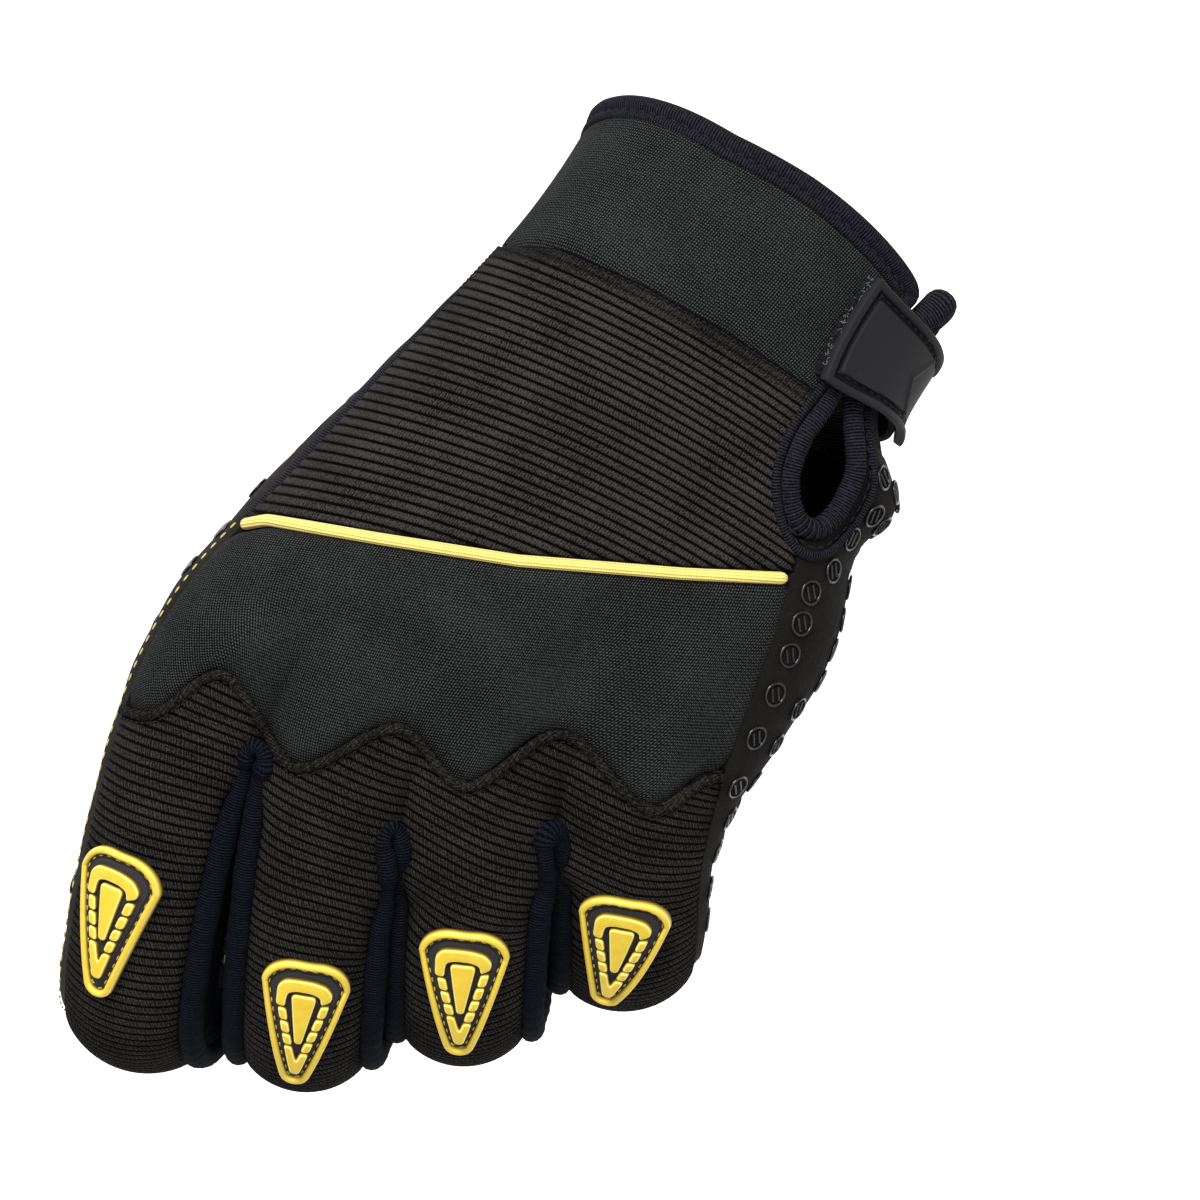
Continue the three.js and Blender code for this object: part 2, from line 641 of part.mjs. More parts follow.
function thumbPoint(angle, station) {
  const t = Math.min(station, THUMB_TIP);
  const at = (place) => new THREE.Vector3(...THUMB_COLUMNS.slice(0, 3).map((column) => splined(column, place)));
  const radius = splined(THUMB_COLUMNS[3], t);
  const along = at(Math.min(t + 0.02, THUMB_TIP)).sub(at(Math.max(t - 0.02, 0))).normalize();
  const front = THUMB_FRONT.clone().addScaledVector(along, -THUMB_FRONT.dot(along)).normalize();
  const across = new THREE.Vector3().crossVectors(front, along);
  const round = station > THUMB_TIP ? radians((station - THUMB_TIP) * 90) : 0;
  const out = new THREE.Vector3();
  out.addScaledVector(front, Math.cos(radians(angle)) * Math.cos(round));
  out.addScaledVector(across, Math.sin(radians(angle)) * Math.cos(round));
  out.addScaledVector(along, Math.sin(round));
  return { point: at(t).addScaledVector(out, radius), out };
}

// Half of the thumb, between two angles from its front
function thumbSheet(start, end) {
  const sheet = new Sheet();
  sheet.addRows(THUMB_STATIONS.map((station) => steps(6).map((f) => thumbPoint(lerp(start, end, f), station))));
  return sheet;
}

// Closed body from rings of points with a flat end at each open end, grown outwards
function plug(rings, grow) {
  const points = [];
  const faces = [];
  const size = rings[0].length;
  rings.forEach((ring) => ring.forEach(({ point, out }) => points.push(point.clone().addScaledVector(out, grow))));
  for (let r = 0; r + 1 < rings.length; r += 1) {
    for (let c = 0; c < size; c += 1) {
      const d = (c + 1) % size;
      const a = r * size;
      const b = (r + 1) * size;
      faces.push([a + c, b + c, a + d], [a + d, b + c, b + d]);
    }
  }
  [0, rings.length - 1].forEach((r) => {
    const centre = new THREE.Vector3();
    for (let c = 0; c < size; c += 1) centre.add(points[r * size + c]);
    points.push(centre.divideScalar(size));
    const hub = points.length - 1;
    for (let c = 0; c < size; c += 1) {
      const pair = [r * size + c, r * size + ((c + 1) % size)];
      faces.push(r ? [hub, pair[1], pair[0]] : [hub, pair[0], pair[1]]);
    }
  });
  return manifold(solid(points, faces));
}

// The hand's outer form from the cuff to the knuckles, as one closed body
function handBody(grow) {
  const stations = [0.5, 0.8, 1.1, 1.4, 1.7, 2, 2.3, 2.6, 2.9, 3.1];
  const rings = stations.map((station) => {
    const back = COLUMN_PLACES.flatMap((list, finger) => list.slice(finger ? 1 : 0).map((u) => (
      handPoint(finger, u, station, false))));
    const palm = COLUMN_PLACES.flatMap((list, finger) => list.slice(finger ? 1 : 0).map((u) => (
      handPoint(finger, u, station, true))));
    return [...back, ...palm.reverse()];
  });
  return plug(rings, grow);
}

function thumbBody(grow) {
  const rings = THUMB_STATIONS.filter((station) => station < 4.5).map((station) => (
    steps(12).slice(0, -1).map((f) => thumbPoint(360 * f, station))));
  return plug(rings, grow);
}

// Finger pads: a shield of three round corners, laid on the back of the middle joint
const PADS = [
  { name: 'index', finger: 0, angle: -9, station: 3.67, lean: 0, size: 1 },
  { name: 'middle', finger: 1, angle: 0, station: 3.85, lean: 4, size: 1 },
  { name: 'ring', finger: 2, angle: -2, station: 3.8, lean: 1, size: 1 },
  { name: 'little', finger: 3, angle: -12, station: 3.76, lean: 9, size: 0.97 },
];
const PAD_LENGTH = 27;
const PAD_SIDE_STEPS = 4;
const PAD_CORNERS = [
  { x: 0, y: 13.5 - 2.6, radius: 2.6, from: -70, to: 70, points: 4 },
  { x: 1.4, y: -13.5 + 6.3, radius: 6.3, from: 100, to: 180, points: 4 },
  { x: -1.4, y: -13.5 + 6.3, radius: 6.3, from: 180, to: 260, points: 4 },
];
const PAD_RIM = 1.45;
const PAD_STANDS = 1.9;
const PAD_FIELD = 1.2;
const PAD_RAISED = 2.3;
const CHAIN_INSET = 3.9;
const CHAIN_WIDTH = 1.2;
const WEDGE = { top: -5.6, bottom: 4, topHalf: 1.9, bottomHalf: 0.7 };

// Outline of the shield, drawn in by inset; angles from the narrow end, in degrees
function shield(inset) {
  return PAD_CORNERS.flatMap((corner) => {
    const turns = steps(corner.points);
    return turns.map((f) => {
      const turn = radians(lerp(corner.from, corner.to, f));
      const radius = corner.radius - inset;
      return { a: corner.x + Math.sin(turn) * radius, b: corner.y + Math.cos(turn) * radius };
    });
  });
}

// The shield's outline with its long straight sides split, so that a raised ring follows the finger
function shieldLoop(inset) {
  const corners = shield(inset);
  return corners.flatMap((p, k) => {
    const q = corners[(k + 1) % corners.length];
    const count = Math.hypot(p.a - q.a, p.b - q.b) > 6 ? PAD_SIDE_STEPS : 1;
    return steps(count).slice(0, -1).map((f) => ({ a: lerp(p.a, q.a, f), b: lerp(p.b, q.b, f) }));
  });
}

// Half width of the shield at b mm down its length
function shieldHalf(b, inset) {
  const line = shield(inset).filter((p) => p.a >= -1e-6).sort((p, q) => p.b - q.b);
  return Math.max(tabled(line.map((p) => p.b), line.map((p) => p.a), b), 0);
}

const padLengths = new Map();
const PAD_REACH = { start: 2.8, end: 5.4, step: 0.04 };

// Station reached b mm along the back of a finger from a station
function stationAlong(finger, start, b) {
  if (!padLengths.has(finger)) {
    const list = [];
    let length = 0;
    let last = ringPoint(finger, 0, PAD_REACH.start).point;
    for (let station = PAD_REACH.start; station < PAD_REACH.end; station += PAD_REACH.step) {
      const { point } = ringPoint(finger, 0, station);
      length += point.distanceTo(last);
      list.push({ station, length });
      last = point;
    }
    padLengths.set(finger, list);
  }
  const list = padLengths.get(finger);
  const stations = list.map((row) => row.station);
  const lengths = list.map((row) => row.length);
  return tabled(lengths, stations, tabled(stations, lengths, start) + b);
}

// Point over a pad's finger: a mm across, b mm down, height above the cloth
function padPoint(pad, a, b, height) {
  const lean = radians(pad.lean);
  const across = (a * Math.cos(lean) - b * Math.sin(lean)) * pad.size;
  const down = (b * Math.cos(lean) + a * Math.sin(lean)) * pad.size;
  const station = stationAlong(pad.finger, pad.station, down);
  const radius = rayValues(pad.finger, station)[4];
  const angle = pad.angle + (across / (radius + height)) * (180 / Math.PI);
  const { point, out } = ringPoint(pad.finger, angle, station);
  return point.addScaledVector(out, height);
}

// A raised ring between two outlines of a pad; heights may differ round it
function padRing(pad, outer, inner, low, highs) {
  const points = [];
  const faces = [];
  const size = outer.length;
  outer.forEach((p, k) => {
    const q = inner[k];
    points.push(padPoint(pad, p.a, p.b, low), padPoint(pad, p.a, p.b, highs[k]));
    points.push(padPoint(pad, q.a, q.b, highs[k]), padPoint(pad, q.a, q.b, low));
  });
  for (let k = 0; k < size; k += 1) {
    const a = k * 4;
    const b = ((k + 1) % size) * 4;
    for (let c = 0; c < 4; c += 1) {
      const d = (c + 1) % 4;
      faces.push([a + c, b + c, a + d], [b + c, b + d, a + d]);
    }
  }
  return solid(points, faces);
}

// A plate on a pad between two heights, from rows of half widths
function padPlate(pad, rows, columns, low, high) {
  const sheet = new Sheet();
  sheet.addRows(rows.map(({ b, half }) => steps(columns).map((f) => {
    const a = lerp(-half, half, f);
    const top = padPoint(pad, a, b, high);
    const bottom = padPoint(pad, a, b, low);
    return { point: top, out: top.clone().sub(bottom).normalize() };
  })));
  return wall(sheet, high - low, 0);
}

function padField(pad) {
  const inset = PAD_RIM + CLEARANCE;
  const end = PAD_LENGTH / 2 - inset;
  const rows = [-end, -end + 0.7, -end + 2.2, -6, -2, 2, 6, 9, end - 0.6, end].map((b) => (
    { b, half: Math.max(shieldHalf(b, inset), 0.5) }));
  return padPlate(pad, rows, 4, CLEARANCE, PAD_FIELD);
}

function padRim(pad) {
  const outer = shieldLoop(0);
  return padRing(pad, outer, shieldLoop(PAD_RIM), CLEARANCE, outer.map(() => PAD_STANDS));
}

// Bracket at the top, beads down the sides and a V at the foot, cast as one ring
function padChain(pad) {
  const low = PAD_FIELD + CLEARANCE;
  const outline = beaded(CHAIN_INSET);
  const inner = beaded(CHAIN_INSET + CHAIN_WIDTH);
  return padRing(pad, outline, inner, low, outline.map((p) => (p.bead ? PAD_RAISED : low + 0.25)));
}

// Narrow inner shield with steps along its sides: three beads on the left and four on the right
function beaded(inset) {
  const top = { b: -PAD_LENGTH / 2 + inset, half: 7.7 - inset };
  const foot = { b: PAD_LENGTH / 2 - inset - 1.2, half: 2.3 - inset * 0.3 };
  const sideA = (b) => lerp(top.half, foot.half, (b - top.b) / (foot.b - top.b));
  const shoulder = top.b + 6.5;
  const neck = foot.b - 3.4;
  const loop = [];
  const run = (count, sign, start, end) => {
    steps(count).slice(0, -1).forEach((f) => {
      const pitch = (end - start) / count;
      const from = lerp(start, end, f);
      [[0.04, true], [0.62, true], [0.7, false], [0.96, false]].forEach(([g, bead]) => {
        const b = from + pitch * g;
        loop.push({ a: sign * sideA(b), b, bead });
      });
    });
  };
  loop.push({ a: 0, b: foot.b, bead: true });
  run(4, 1, neck, shoulder);
  loop.push({ a: sideA(shoulder), b: shoulder, bead: true });
  loop.push({ a: top.half, b: top.b + 1.4, bead: true });
  loop.push({ a: top.half - 1.2, b: top.b, bead: true });
  loop.push({ a: -top.half + 1.2, b: top.b, bead: true });
  loop.push({ a: -top.half, b: top.b + 1.4, bead: true });
  loop.push({ a: -sideA(shoulder), b: shoulder, bead: true });
  run(3, -1, shoulder, neck);
  return loop;
}

function padWedge(pad) {
  const rows = steps(3).map((f) => (
    { b: lerp(WEDGE.top, WEDGE.bottom, f), half: lerp(WEDGE.topHalf, WEDGE.bottomHalf, f) }));
  return padPlate(pad, rows, 2, PAD_FIELD + CLEARANCE, PAD_RAISED);
}

// Closing strap across the slit, in angles round the little-finger ray. From its rubber tab it runs up to the
// rim, and it stands off the wrist where it turns round the side.
const STRAP = { start: 41, end: 168, width: 17.6, thick: 1.4, lift: 0.85 };
const TAB = { start: 42, end: 98, width: 18.6, thick: 1.6 };
const STRAP_RUN = { start: 42, end: 94, station: 0.67, endStation: 0.5 };
const STRAP_STAND = { start: 55, highest: 90, end: 140, height: 1.3 };

function strapPoint(angle, across, height) {
  const share = smooth((angle - STRAP_RUN.start) / (STRAP_RUN.end - STRAP_RUN.start));
  const station = lerp(STRAP_RUN.station, STRAP_RUN.endStation, share) + across / STATION_LENGTH;
  const rise = smooth((angle - STRAP_STAND.start) / (STRAP_STAND.highest - STRAP_STAND.start));
  const fall = smooth((STRAP_STAND.end - angle) / (STRAP_STAND.end - STRAP_STAND.highest));
  const { point, out } = ringPoint(3, angle, station);
  return { point: point.addScaledVector(out, STRAP.lift + STRAP_STAND.height * rise * fall + height), out };
}

function strapSheet(start, end, width, height, count) {
  const sheet = new Sheet();
  const half = width / 2;
  sheet.addRows(steps(4).map((f) => steps(count).map((g) => (
    strapPoint(lerp(start, end, g), lerp(-half, half, f), height)))));
  return sheet;
}

place('cuff', wall(cuffSheet(), NEOPRENE), 'neoprene');
place('cuff_binding', cord(cuffBindingPath(), BINDING_RADIUS, 6, 42), 'navy_knit');
place('keyhole_binding', cord(keyholeBindingPath(), KEYHOLE_BINDING_RADIUS, 6, 20), 'navy_knit');
place('rib_panel', wall(handSheet(['rib'], false), RIBBED_CLOTH), 'ribbed');
place('knuckle_panel', wall(handSheet(['knuckle'], false), NEOPRENE), 'neoprene');
place('finger_panel', wall(handSheet(['web', 'finger', 'tip'], false), RIBBED_CLOTH), 'ribbed');
place('piping', cord(pipingPath(), PIPING_RADIUS, 6, 22), 'yellow_cord');
place('thumb_gusset', wall(gussetSheet(), KNIT), 'navy_knit');
RAYS.slice(0, 3).forEach((ray, boundary) => {
  const name = `fourchette_${ray.name}_${RAYS[boundary + 1].name}`;
  place(name, wall(fourchetteSheet(boundary), KNIT), 'navy_knit');
});

const palm = manifold(wall(handSheet(['rib', 'knuckle', 'web', 'finger', 'tip'], true), SUEDE));
place('palm_panel', geometryOf(palm.subtract(thumbBody(THUMB_HOLE_GAP))), 'suede');
const hand = handBody(THUMB_SEAT_GAP);
place('thumb_back', geometryOf(manifold(wall(thumbSheet(90, 270), RIBBED_CLOTH)).subtract(hand)), 'ribbed');
place('thumb_front', geometryOf(manifold(wall(thumbSheet(-90, 90), SUEDE)).subtract(hand)), 'suede');

place('strap', wall(strapSheet(STRAP.start, STRAP.end, STRAP.width, STRAP.thick, 12), STRAP.thick, 0), 'navy_knit');
const tabHeight = STRAP.thick + CLEARANCE + TAB.thick;
place('strap_tab', wall(strapSheet(TAB.start, TAB.end, TAB.width, tabHeight, 8), TAB.thick, 0), 'dark_rubber');

PADS.forEach((pad) => {
  place(`pad_base_${pad.name}`, padField(pad), 'dark_rubber');
  place(`pad_rim_${pad.name}`, padRim(pad), 'yellow_rubber');
  place(`pad_chain_${pad.name}`, padChain(pad), 'yellow_rubber');
  place(`pad_wedge_${pad.name}`, padWedge(pad), 'yellow_rubber');
});

export default glove;
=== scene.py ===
import math

import bmesh
import bpy
import numpy as np
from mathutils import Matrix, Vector
from mathutils.geometry import delaunay_2d_cdt
from mathutils.bvhtree import BVHTree


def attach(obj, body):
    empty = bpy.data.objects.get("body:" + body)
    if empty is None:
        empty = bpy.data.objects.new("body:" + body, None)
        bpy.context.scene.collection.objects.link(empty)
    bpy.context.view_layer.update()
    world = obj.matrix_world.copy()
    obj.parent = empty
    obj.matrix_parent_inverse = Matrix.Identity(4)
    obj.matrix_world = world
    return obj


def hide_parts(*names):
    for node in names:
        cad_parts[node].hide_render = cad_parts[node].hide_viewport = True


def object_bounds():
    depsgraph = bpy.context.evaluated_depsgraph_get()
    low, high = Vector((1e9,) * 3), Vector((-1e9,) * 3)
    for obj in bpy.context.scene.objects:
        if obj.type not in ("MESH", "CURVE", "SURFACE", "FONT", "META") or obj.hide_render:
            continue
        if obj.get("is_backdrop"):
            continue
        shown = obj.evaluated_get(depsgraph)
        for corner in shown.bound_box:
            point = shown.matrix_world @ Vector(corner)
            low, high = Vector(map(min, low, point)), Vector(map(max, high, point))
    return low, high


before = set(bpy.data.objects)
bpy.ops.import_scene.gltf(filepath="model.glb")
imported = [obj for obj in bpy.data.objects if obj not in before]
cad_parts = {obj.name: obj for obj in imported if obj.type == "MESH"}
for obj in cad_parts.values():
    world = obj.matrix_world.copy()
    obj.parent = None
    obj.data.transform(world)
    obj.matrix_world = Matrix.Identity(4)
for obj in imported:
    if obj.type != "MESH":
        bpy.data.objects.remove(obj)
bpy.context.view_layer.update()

# Cuff: a tube of thin neoprene faced with fine knit, open along a slit on the little-finger side.
# All the cloth is laid over one form, in millimetres: four finger rays, each a row of elliptical sections
# from the wrist opening (station 0) over the knuckles (3) to the fingertips (6) and their poles (7).

RAY_ROWS = {  # x, y, z, side, back and palm radii, roll in degrees
    "index": [(-6.1, 3.4, 0, 22.6, 22, 22, 0), (-22.8, -16.4, 9, 19.6, 20, 20, 0),
              (-61, -53, 13, 15, 15, 15, 4),
              (-88, -80, 14, 13, 14, 13, 12), (-102, -129, -6, 13.4, 12.5, 11, 20),
              (-96.8, -130, -36, 12.2, 11.5, 10.5, 14), (-89, -112, -53, 10.6, 10, 9.5, 8)],
    "middle": [(-2, 1.1, 0, 22.5, 22.5, 22, 0), (-16.9, -19.1, 9, 20.5, 20.5, 20, 0),
               (-46, -56, 15, 16, 15.5, 15, 0),
               (-66, -88, 17, 13, 14, 13, 2), (-74, -133, -5, 12.6, 12.5, 11, 3),
               (-72, -132, -35, 11.8, 11.5, 10.5, 2), (-68, -112, -52, 10.6, 10, 9.5, 0)],
    "ring": [(2, -1.1, 0, 22.5, 22.5, 22, 0), (-11.1, -21.9, 9, 20.5, 20.5, 20, 0),
             (-25, -58, 14.5, 16, 15.5, 15, 0),
             (-42, -90, 16, 13, 13.5, 13, 0), (-47.5, -129, -5, 12.7, 12.3, 11, 0),
             (-46.5, -129, -34, 11.8, 11.3, 10.5, 0), (-45, -110, -50, 10.4, 10, 9.5, 0)],
    "little": [(6.1, -3.4, 0, 22.6, 22, 22, 0), (-5.2, -24.6, 9, 20.4, 20, 20, 0),
               (-7, -60, 12, 14, 14, 15, 0),
               (-18, -93, 12, 13, 13, 12.5, -2), (-20, -121.5, -7, 12.9, 11.5, 10.5, -4),
               (-21.5, -121, -30, 11.6, 10.8, 10, -2), (-22, -105, -43, 9.8, 9.4, 9, 0)],
}
FINGERS = list(RAY_ROWS)
RAYS = np.array([RAY_ROWS[name] for name in FINGERS], float)
ACROSS = np.array([-29, -25, -11, -6, 0, 0, 0], float)
HEEL = (105, 38, 3, 0.8, np.array([7, 8, 9, 10, 11, 9, 6, 1, 0, 0, 0, 0, 0, 0, 0], float))
THUMB_ROOT = (-150, 34, 0, 0.9, np.array([0, 0, 3, 9, 13, 11, 4, 0, 0, 0, 0, 0, 0, 0, 0], float))
FORKS = np.array([3.12, 3.38, 3.36])
FORK_RUN_IN, FORK_OPENING = 0.75, 0.17
CUFF_TOP, FINGER_END, TIP, POLE = 0.12, 5.5, 6, 7
SEAMS = {  # x and y of the points that a seam runs through, and the stations it lies between
    "cuff": ([(-60, -14), (-41.3, -7.5), (-31.3, -8.5), (-18, -14.5), (-4.7, -22), (7, -29.5), (13.3, -33.5),
              (30, -43)], 0.3, 1.8),
    "piping": ([(-100, -54.5), (-84.7, -53.5), (-79, -52.6), (-60.7, -55.8), (-38, -59.4), (-11.3, -61.5),
                (4.7, -62.3), (20, -62.5)], 1.2, 2.9),
    "wave": ([(-112, -80), (-98.5, -83.8), (-86.2, -77), (-73.7, -92.2), (-57.3, -85.7), (-46.7, -95.3),
              (-31.2, -86.7), (-15.5, -99.4), (-6, -94), (10, -88)], 2.3, 3.6),
}
EDGE_STATIONS = [0, 1, 2, 3, 4, 4.6, FINGER_END, POLE]
INDEX_EDGE = [80, 80, 76, 64, 52, 58, 90, 90]
LITTLE_EDGE = [72, 62, 52, 58, 62, 65, 90, 90]
INNER_EDGE = [55, 55, 55, 55, 55, 58, 90, 90]
KEYHOLE_WIDEST, KEYHOLE_END, KEYHOLE_HALF, SLIT_HALF = 1.42, 1.7, 7.8, 4
GUSSET_HALF = 3.2
STATION_LENGTH = 28


def lerp(a, b, f):
    return a + (b - a) * f


def smooth(v):
    f = np.clip(v, 0, 1)
    return f * f * (3 - 2 * f)


def unit(v):
    return v / np.maximum(np.linalg.norm(v, axis=-1, keepdims=True), 1e-12)


def spline_weights(place, count):
    """Shares of an evenly spaced list's values at fractional places, with its ends carried on straight."""
    place = np.asarray(place, float)
    k = np.clip(np.floor(place).astype(int), 0, count - 2)
    f = np.clip(place - k, 0, 1)
    parts = (-f / 2 + f**2 - f**3 / 2, 1 - 2.5 * f**2 + 1.5 * f**3, f / 2 + 2 * f**2 - 1.5 * f**3,
             (f**3 - f**2) / 2)
    weights = np.zeros(place.shape + (count + 2,))
    for step, part in enumerate(parts):
        np.put_along_axis(weights, (k + step)[..., None], part[..., None], -1)
    low, high = weights[..., :1], weights[..., -1:]
    weights = weights[..., 1:-1].copy()
    weights[..., :2] += low * (2, -1)
    weights[..., -2:] += high * (-1, 2)
    return weights


def ray_values(place, station):
    place, station = np.broadcast_arrays(np.asarray(place, float), np.asarray(station, float))
    rays = spline_weights(place, 4)
    stations = spline_weights(np.minimum(station, TIP), 7)
    return np.einsum("...r,...s,rsc->...c", rays, stations, RAYS, optimize=True)


def heading(place, station):
    ahead = ray_values(place, np.minimum(station + 0.02, TIP))[..., :3]
    return unit(ahead - ray_values(place, np.maximum(station - 0.02, 0))[..., :3])


def section(place, station):
    place, station = np.broadcast_arrays(np.asarray(place, float), np.asarray(station, float))
    values = ray_values(place, station)
    t = np.minimum(station, TIP)
    along = unit(lerp(heading(1.5, t), heading(place, t), smooth(t - 1.8)[..., None]))
    turn = np.radians(spline_weights(t, 7) @ ACROSS)
    across = np.stack([np.cos(turn), np.sin(turn), np.zeros_like(turn)], -1)
    across = unit(across - along * (across * along).sum(-1, keepdims=True))
    roll = np.radians(values[..., 6:7])
    across = across * np.cos(roll) + np.cross(along, across) * np.sin(roll)
    return values, along, across, np.cross(along, across)


def swell(form, place, angle, station):
    middle, spread, ray, reach, heights = form
    height = spline_weights(np.minimum(station, POLE) * 2, len(heights)) @ heights
    away = np.abs(angle - middle)
    away = np.minimum(away, 360 - away)
    beside = np.exp(-0.5 * (away / spread) ** 2)
    return np.maximum(height, 0) * beside * np.exp(-(((place - ray) / reach) ** 2))


def vent_fold(place, angle, station):
    """The fold of the palm that bulges beside the keyhole vent."""
    away = np.abs(angle - 104)
    away = np.minimum(away, 360 - away)
    along = np.exp(-(((station - 1.22) / 0.26) ** 2))
    return 8 * along * np.exp(-0.5 * (away / 24) ** 2) * np.exp(-(((place - 3) / 0.6) ** 2))


def ring_point(place, angle, station):
    """Points of the form at an angle from the back, and their outward directions."""
    place, angle, station = np.broadcast_arrays(*(np.asarray(v, float) for v in (place, angle, station)))
    values, along, across, up = section(place, station)
    side = values[..., 3]
    sin, cos = np.sin(np.radians(angle)), np.cos(np.radians(angle))
    deep = np.where(cos > 0, values[..., 4], values[..., 5])
    tip = np.radians(np.maximum(station - TIP, 0) * 90)
    shrink = np.cos(tip)
    out = unit(across * (sin / side)[..., None] + up * (cos / deep)[..., None])
    aside, raised = (sin * side * shrink)[..., None], (cos * deep * shrink)[..., None]
    point = values[..., :3] + across * aside + up * raised
    point = point + along * (np.sin(tip) * side)[..., None]
    grown = swell(HEEL, place, angle, station) + swell(THUMB_ROOT, place, angle, station)
    grown = grown + vent_fold(place, angle, station)
    point = point + out * grown[..., None]
    return point, unit(out * shrink[..., None] + along * np.sin(tip)[..., None])


def mixed(a, b, f):
    f = np.asarray(f)[..., None]
    return lerp(a[0], b[0], f), unit(lerp(a[1], b[1], f))


def slit_angle(station):
    radius = ray_values(3, station)[..., 3] + 7
    half = lerp(SLIT_HALF, KEYHOLE_HALF, smooth((station - 0.9) / (KEYHOLE_WIDEST - 0.9)))
    depth = (station - KEYHOLE_WIDEST) / (KEYHOLE_END - KEYHOLE_WIDEST)
    round_end = KEYHOLE_HALF * np.sqrt(np.clip(1 - depth**2, 0, 1))
    half = np.where(station > KEYHOLE_WIDEST, round_end, half)
    return np.where(station >= KEYHOLE_END, 0, np.degrees(half / radius))


def gusset_angle(station):
    f = np.clip((station - 1) / (PIPING_AT_INDEX - 1), 0, 1)
    radius = ray_values(0, station)[..., 3] + 6
    return np.degrees(GUSSET_HALF / radius) * np.sqrt(np.maximum(np.sin(np.pi * f), 0))


def edge_angle(finger, positive, station, palm):
    """Angle from the back at which the back's panels or the palm end on one side of a finger."""
    if finger == 0 and not positive:
        edge = np.interp(station, EDGE_STATIONS, INDEX_EDGE)
        return edge + 2 * gusset_angle(station) if palm else edge
    if finger == 3 and positive:
        edge = np.interp(station, EDGE_STATIONS, LITTLE_EDGE)
        return edge + (1 if palm else -1) * slit_angle(station)
    edge = np.interp(station, EDGE_STATIONS, INNER_EDGE)
    return 180 - edge if palm else edge


def finger_point(finger, angle, station, pull):
    """Points round a finger, drawn to the next finger until the two part."""
    found = own = ring_point(finger, angle, station)
    for mate, beside in ((finger + 1, angle > 0), (finger - 1, angle <= 0)):
        if 0 <= mate <= 3:
            closed = 1 - smooth((station - FORKS[min(finger, mate)]) / FORK_OPENING)
            between = mixed(own, ring_point(mate, -np.asarray(angle), station), 0.5)
            found = mixed(found, between, pull * closed * beside)
    return found


def fork_share(boundary, station):
    fork = FORKS[min(max(boundary, 0), 2)]
    return smooth((station - fork + FORK_RUN_IN) / FORK_RUN_IN)


def strip_point(finger, s, station, palm):
    edge = np.where(s < 0, edge_angle(finger, False, station, palm), edge_angle(finger, True, station, palm))
    swing = 2 * np.abs(s)
    angle = np.where(s < 0, -1, 1) * (180 - swing * (180 - edge) if palm else swing * edge)
    own = finger_point(finger, angle, station, swing**3)
    share = lerp(fork_share(finger - 1, station), fork_share(finger, station), s + 0.5)
    place = finger + s
    share = np.where((place < 0) | (place > 3), 1, share)
    trunk = ring_point(np.clip(place, 0, 3), 180 if palm else 0, station)
    return mixed(trunk, own, share)


def hand_point(finger, u, station, palm=False):
    """Points of the hand at u, from 0 to 4 across the fingers, seen as part of one finger's strip."""
    u, station = np.broadcast_arrays(np.asarray(u, float), np.asarray(station, float))
    point, out = strip_point(finger, u - finger - 0.5, station, palm)
    if finger > 0:
        shared = ((u <= finger) & (station <= FORKS[finger - 1] + 1e-6))[..., None]
        other = strip_point(finger - 1, np.full(u.shape, 0.5), station, palm)
        point, out = np.where(shared, other[0], point), np.where(shared, other[1], out)
    return point, out


def over_hand(u, station, palm=False):
    """The same for columns of several fingers at once."""
    u, station = np.broadcast_arrays(np.asarray(u, float), np.asarray(station, float))
    point, out = np.zeros(u.shape + (3,)), np.zeros(u.shape + (3,))
    number = np.clip(np.floor(u).astype(int), 0, 3)
    for finger in range(4):
        of = number == finger
        if of.any():
            point[of], out[of] = hand_point(finger, u[of], station[of], palm)
    return point, out


def seam_station(name, u, shift=0.0):
    """Stations at which columns of the back cross a seam, moved towards the fingers by shift mm."""
    line, start, end = SEAMS[name]
    xs, ys = np.array(line, float).T
    u = np.atleast_1d(np.asarray(u, float))
    low, high = np.full(u.shape, float(start)), np.full(u.shape, float(end))
    column = np.arange(u.size)
    for _ in range(3):
        stations = lerp(low, high, np.linspace(0, 1, 33)[:, None])
        point = over_hand(np.clip(u, 1e-4, 4 - 1e-4)[None], stations)[0]
        k = np.clip(np.searchsorted(xs, point[..., 0]) - 1, 0, len(xs) - 2)
        f = np.clip((point[..., 0] - xs[k]) / (xs[k + 1] - xs[k]), 0, 1)
        height = lerp(ys[k], ys[k + 1], smooth(f) if name == "wave" else f)
        reached = np.clip((point[..., 1] > height - shift).sum(0), 1, 32)
        low, high = stations[reached - 1, column], stations[reached, column]
    return (low + high) / 2


PIPING_AT_INDEX = float(seam_station("piping", 0)[0])


def measured(points, axis):
    """Lengths along the lines of a grid from their start."""
    steps = np.linalg.norm(np.diff(points, axis=axis), axis=-1)
    start = np.zeros_like(steps[:1] if axis == 0 else steps[:, :1])
    return np.concatenate([start, np.cumsum(steps, axis)], axis)


class Patch:
    """A grid of points on the glove. Rows follow each other towards the fingertips, columns to the right."""

    def __init__(self, points, outs, turned=False):
        self.points, self.outs, self.turned = points, outs, turned
        self.along, self.across = measured(points, 0), measured(points, 1)
        self.from_end = self.along[-1:] - self.along
        self.from_right = self.across[:, -1:] - self.across
        self.u, self.v = self.across - self.across[:, -1:] / 2, self.along
        self.relief, self.tone = np.zeros(points.shape[:2]), np.ones(points.shape[:2])


def columns(start, end, pitch, width):
    """Evenly spaced columns over a share of the hand that is about width mm wide."""
    return np.linspace(start, end, max(int(round(width / pitch)), 2) + 1)


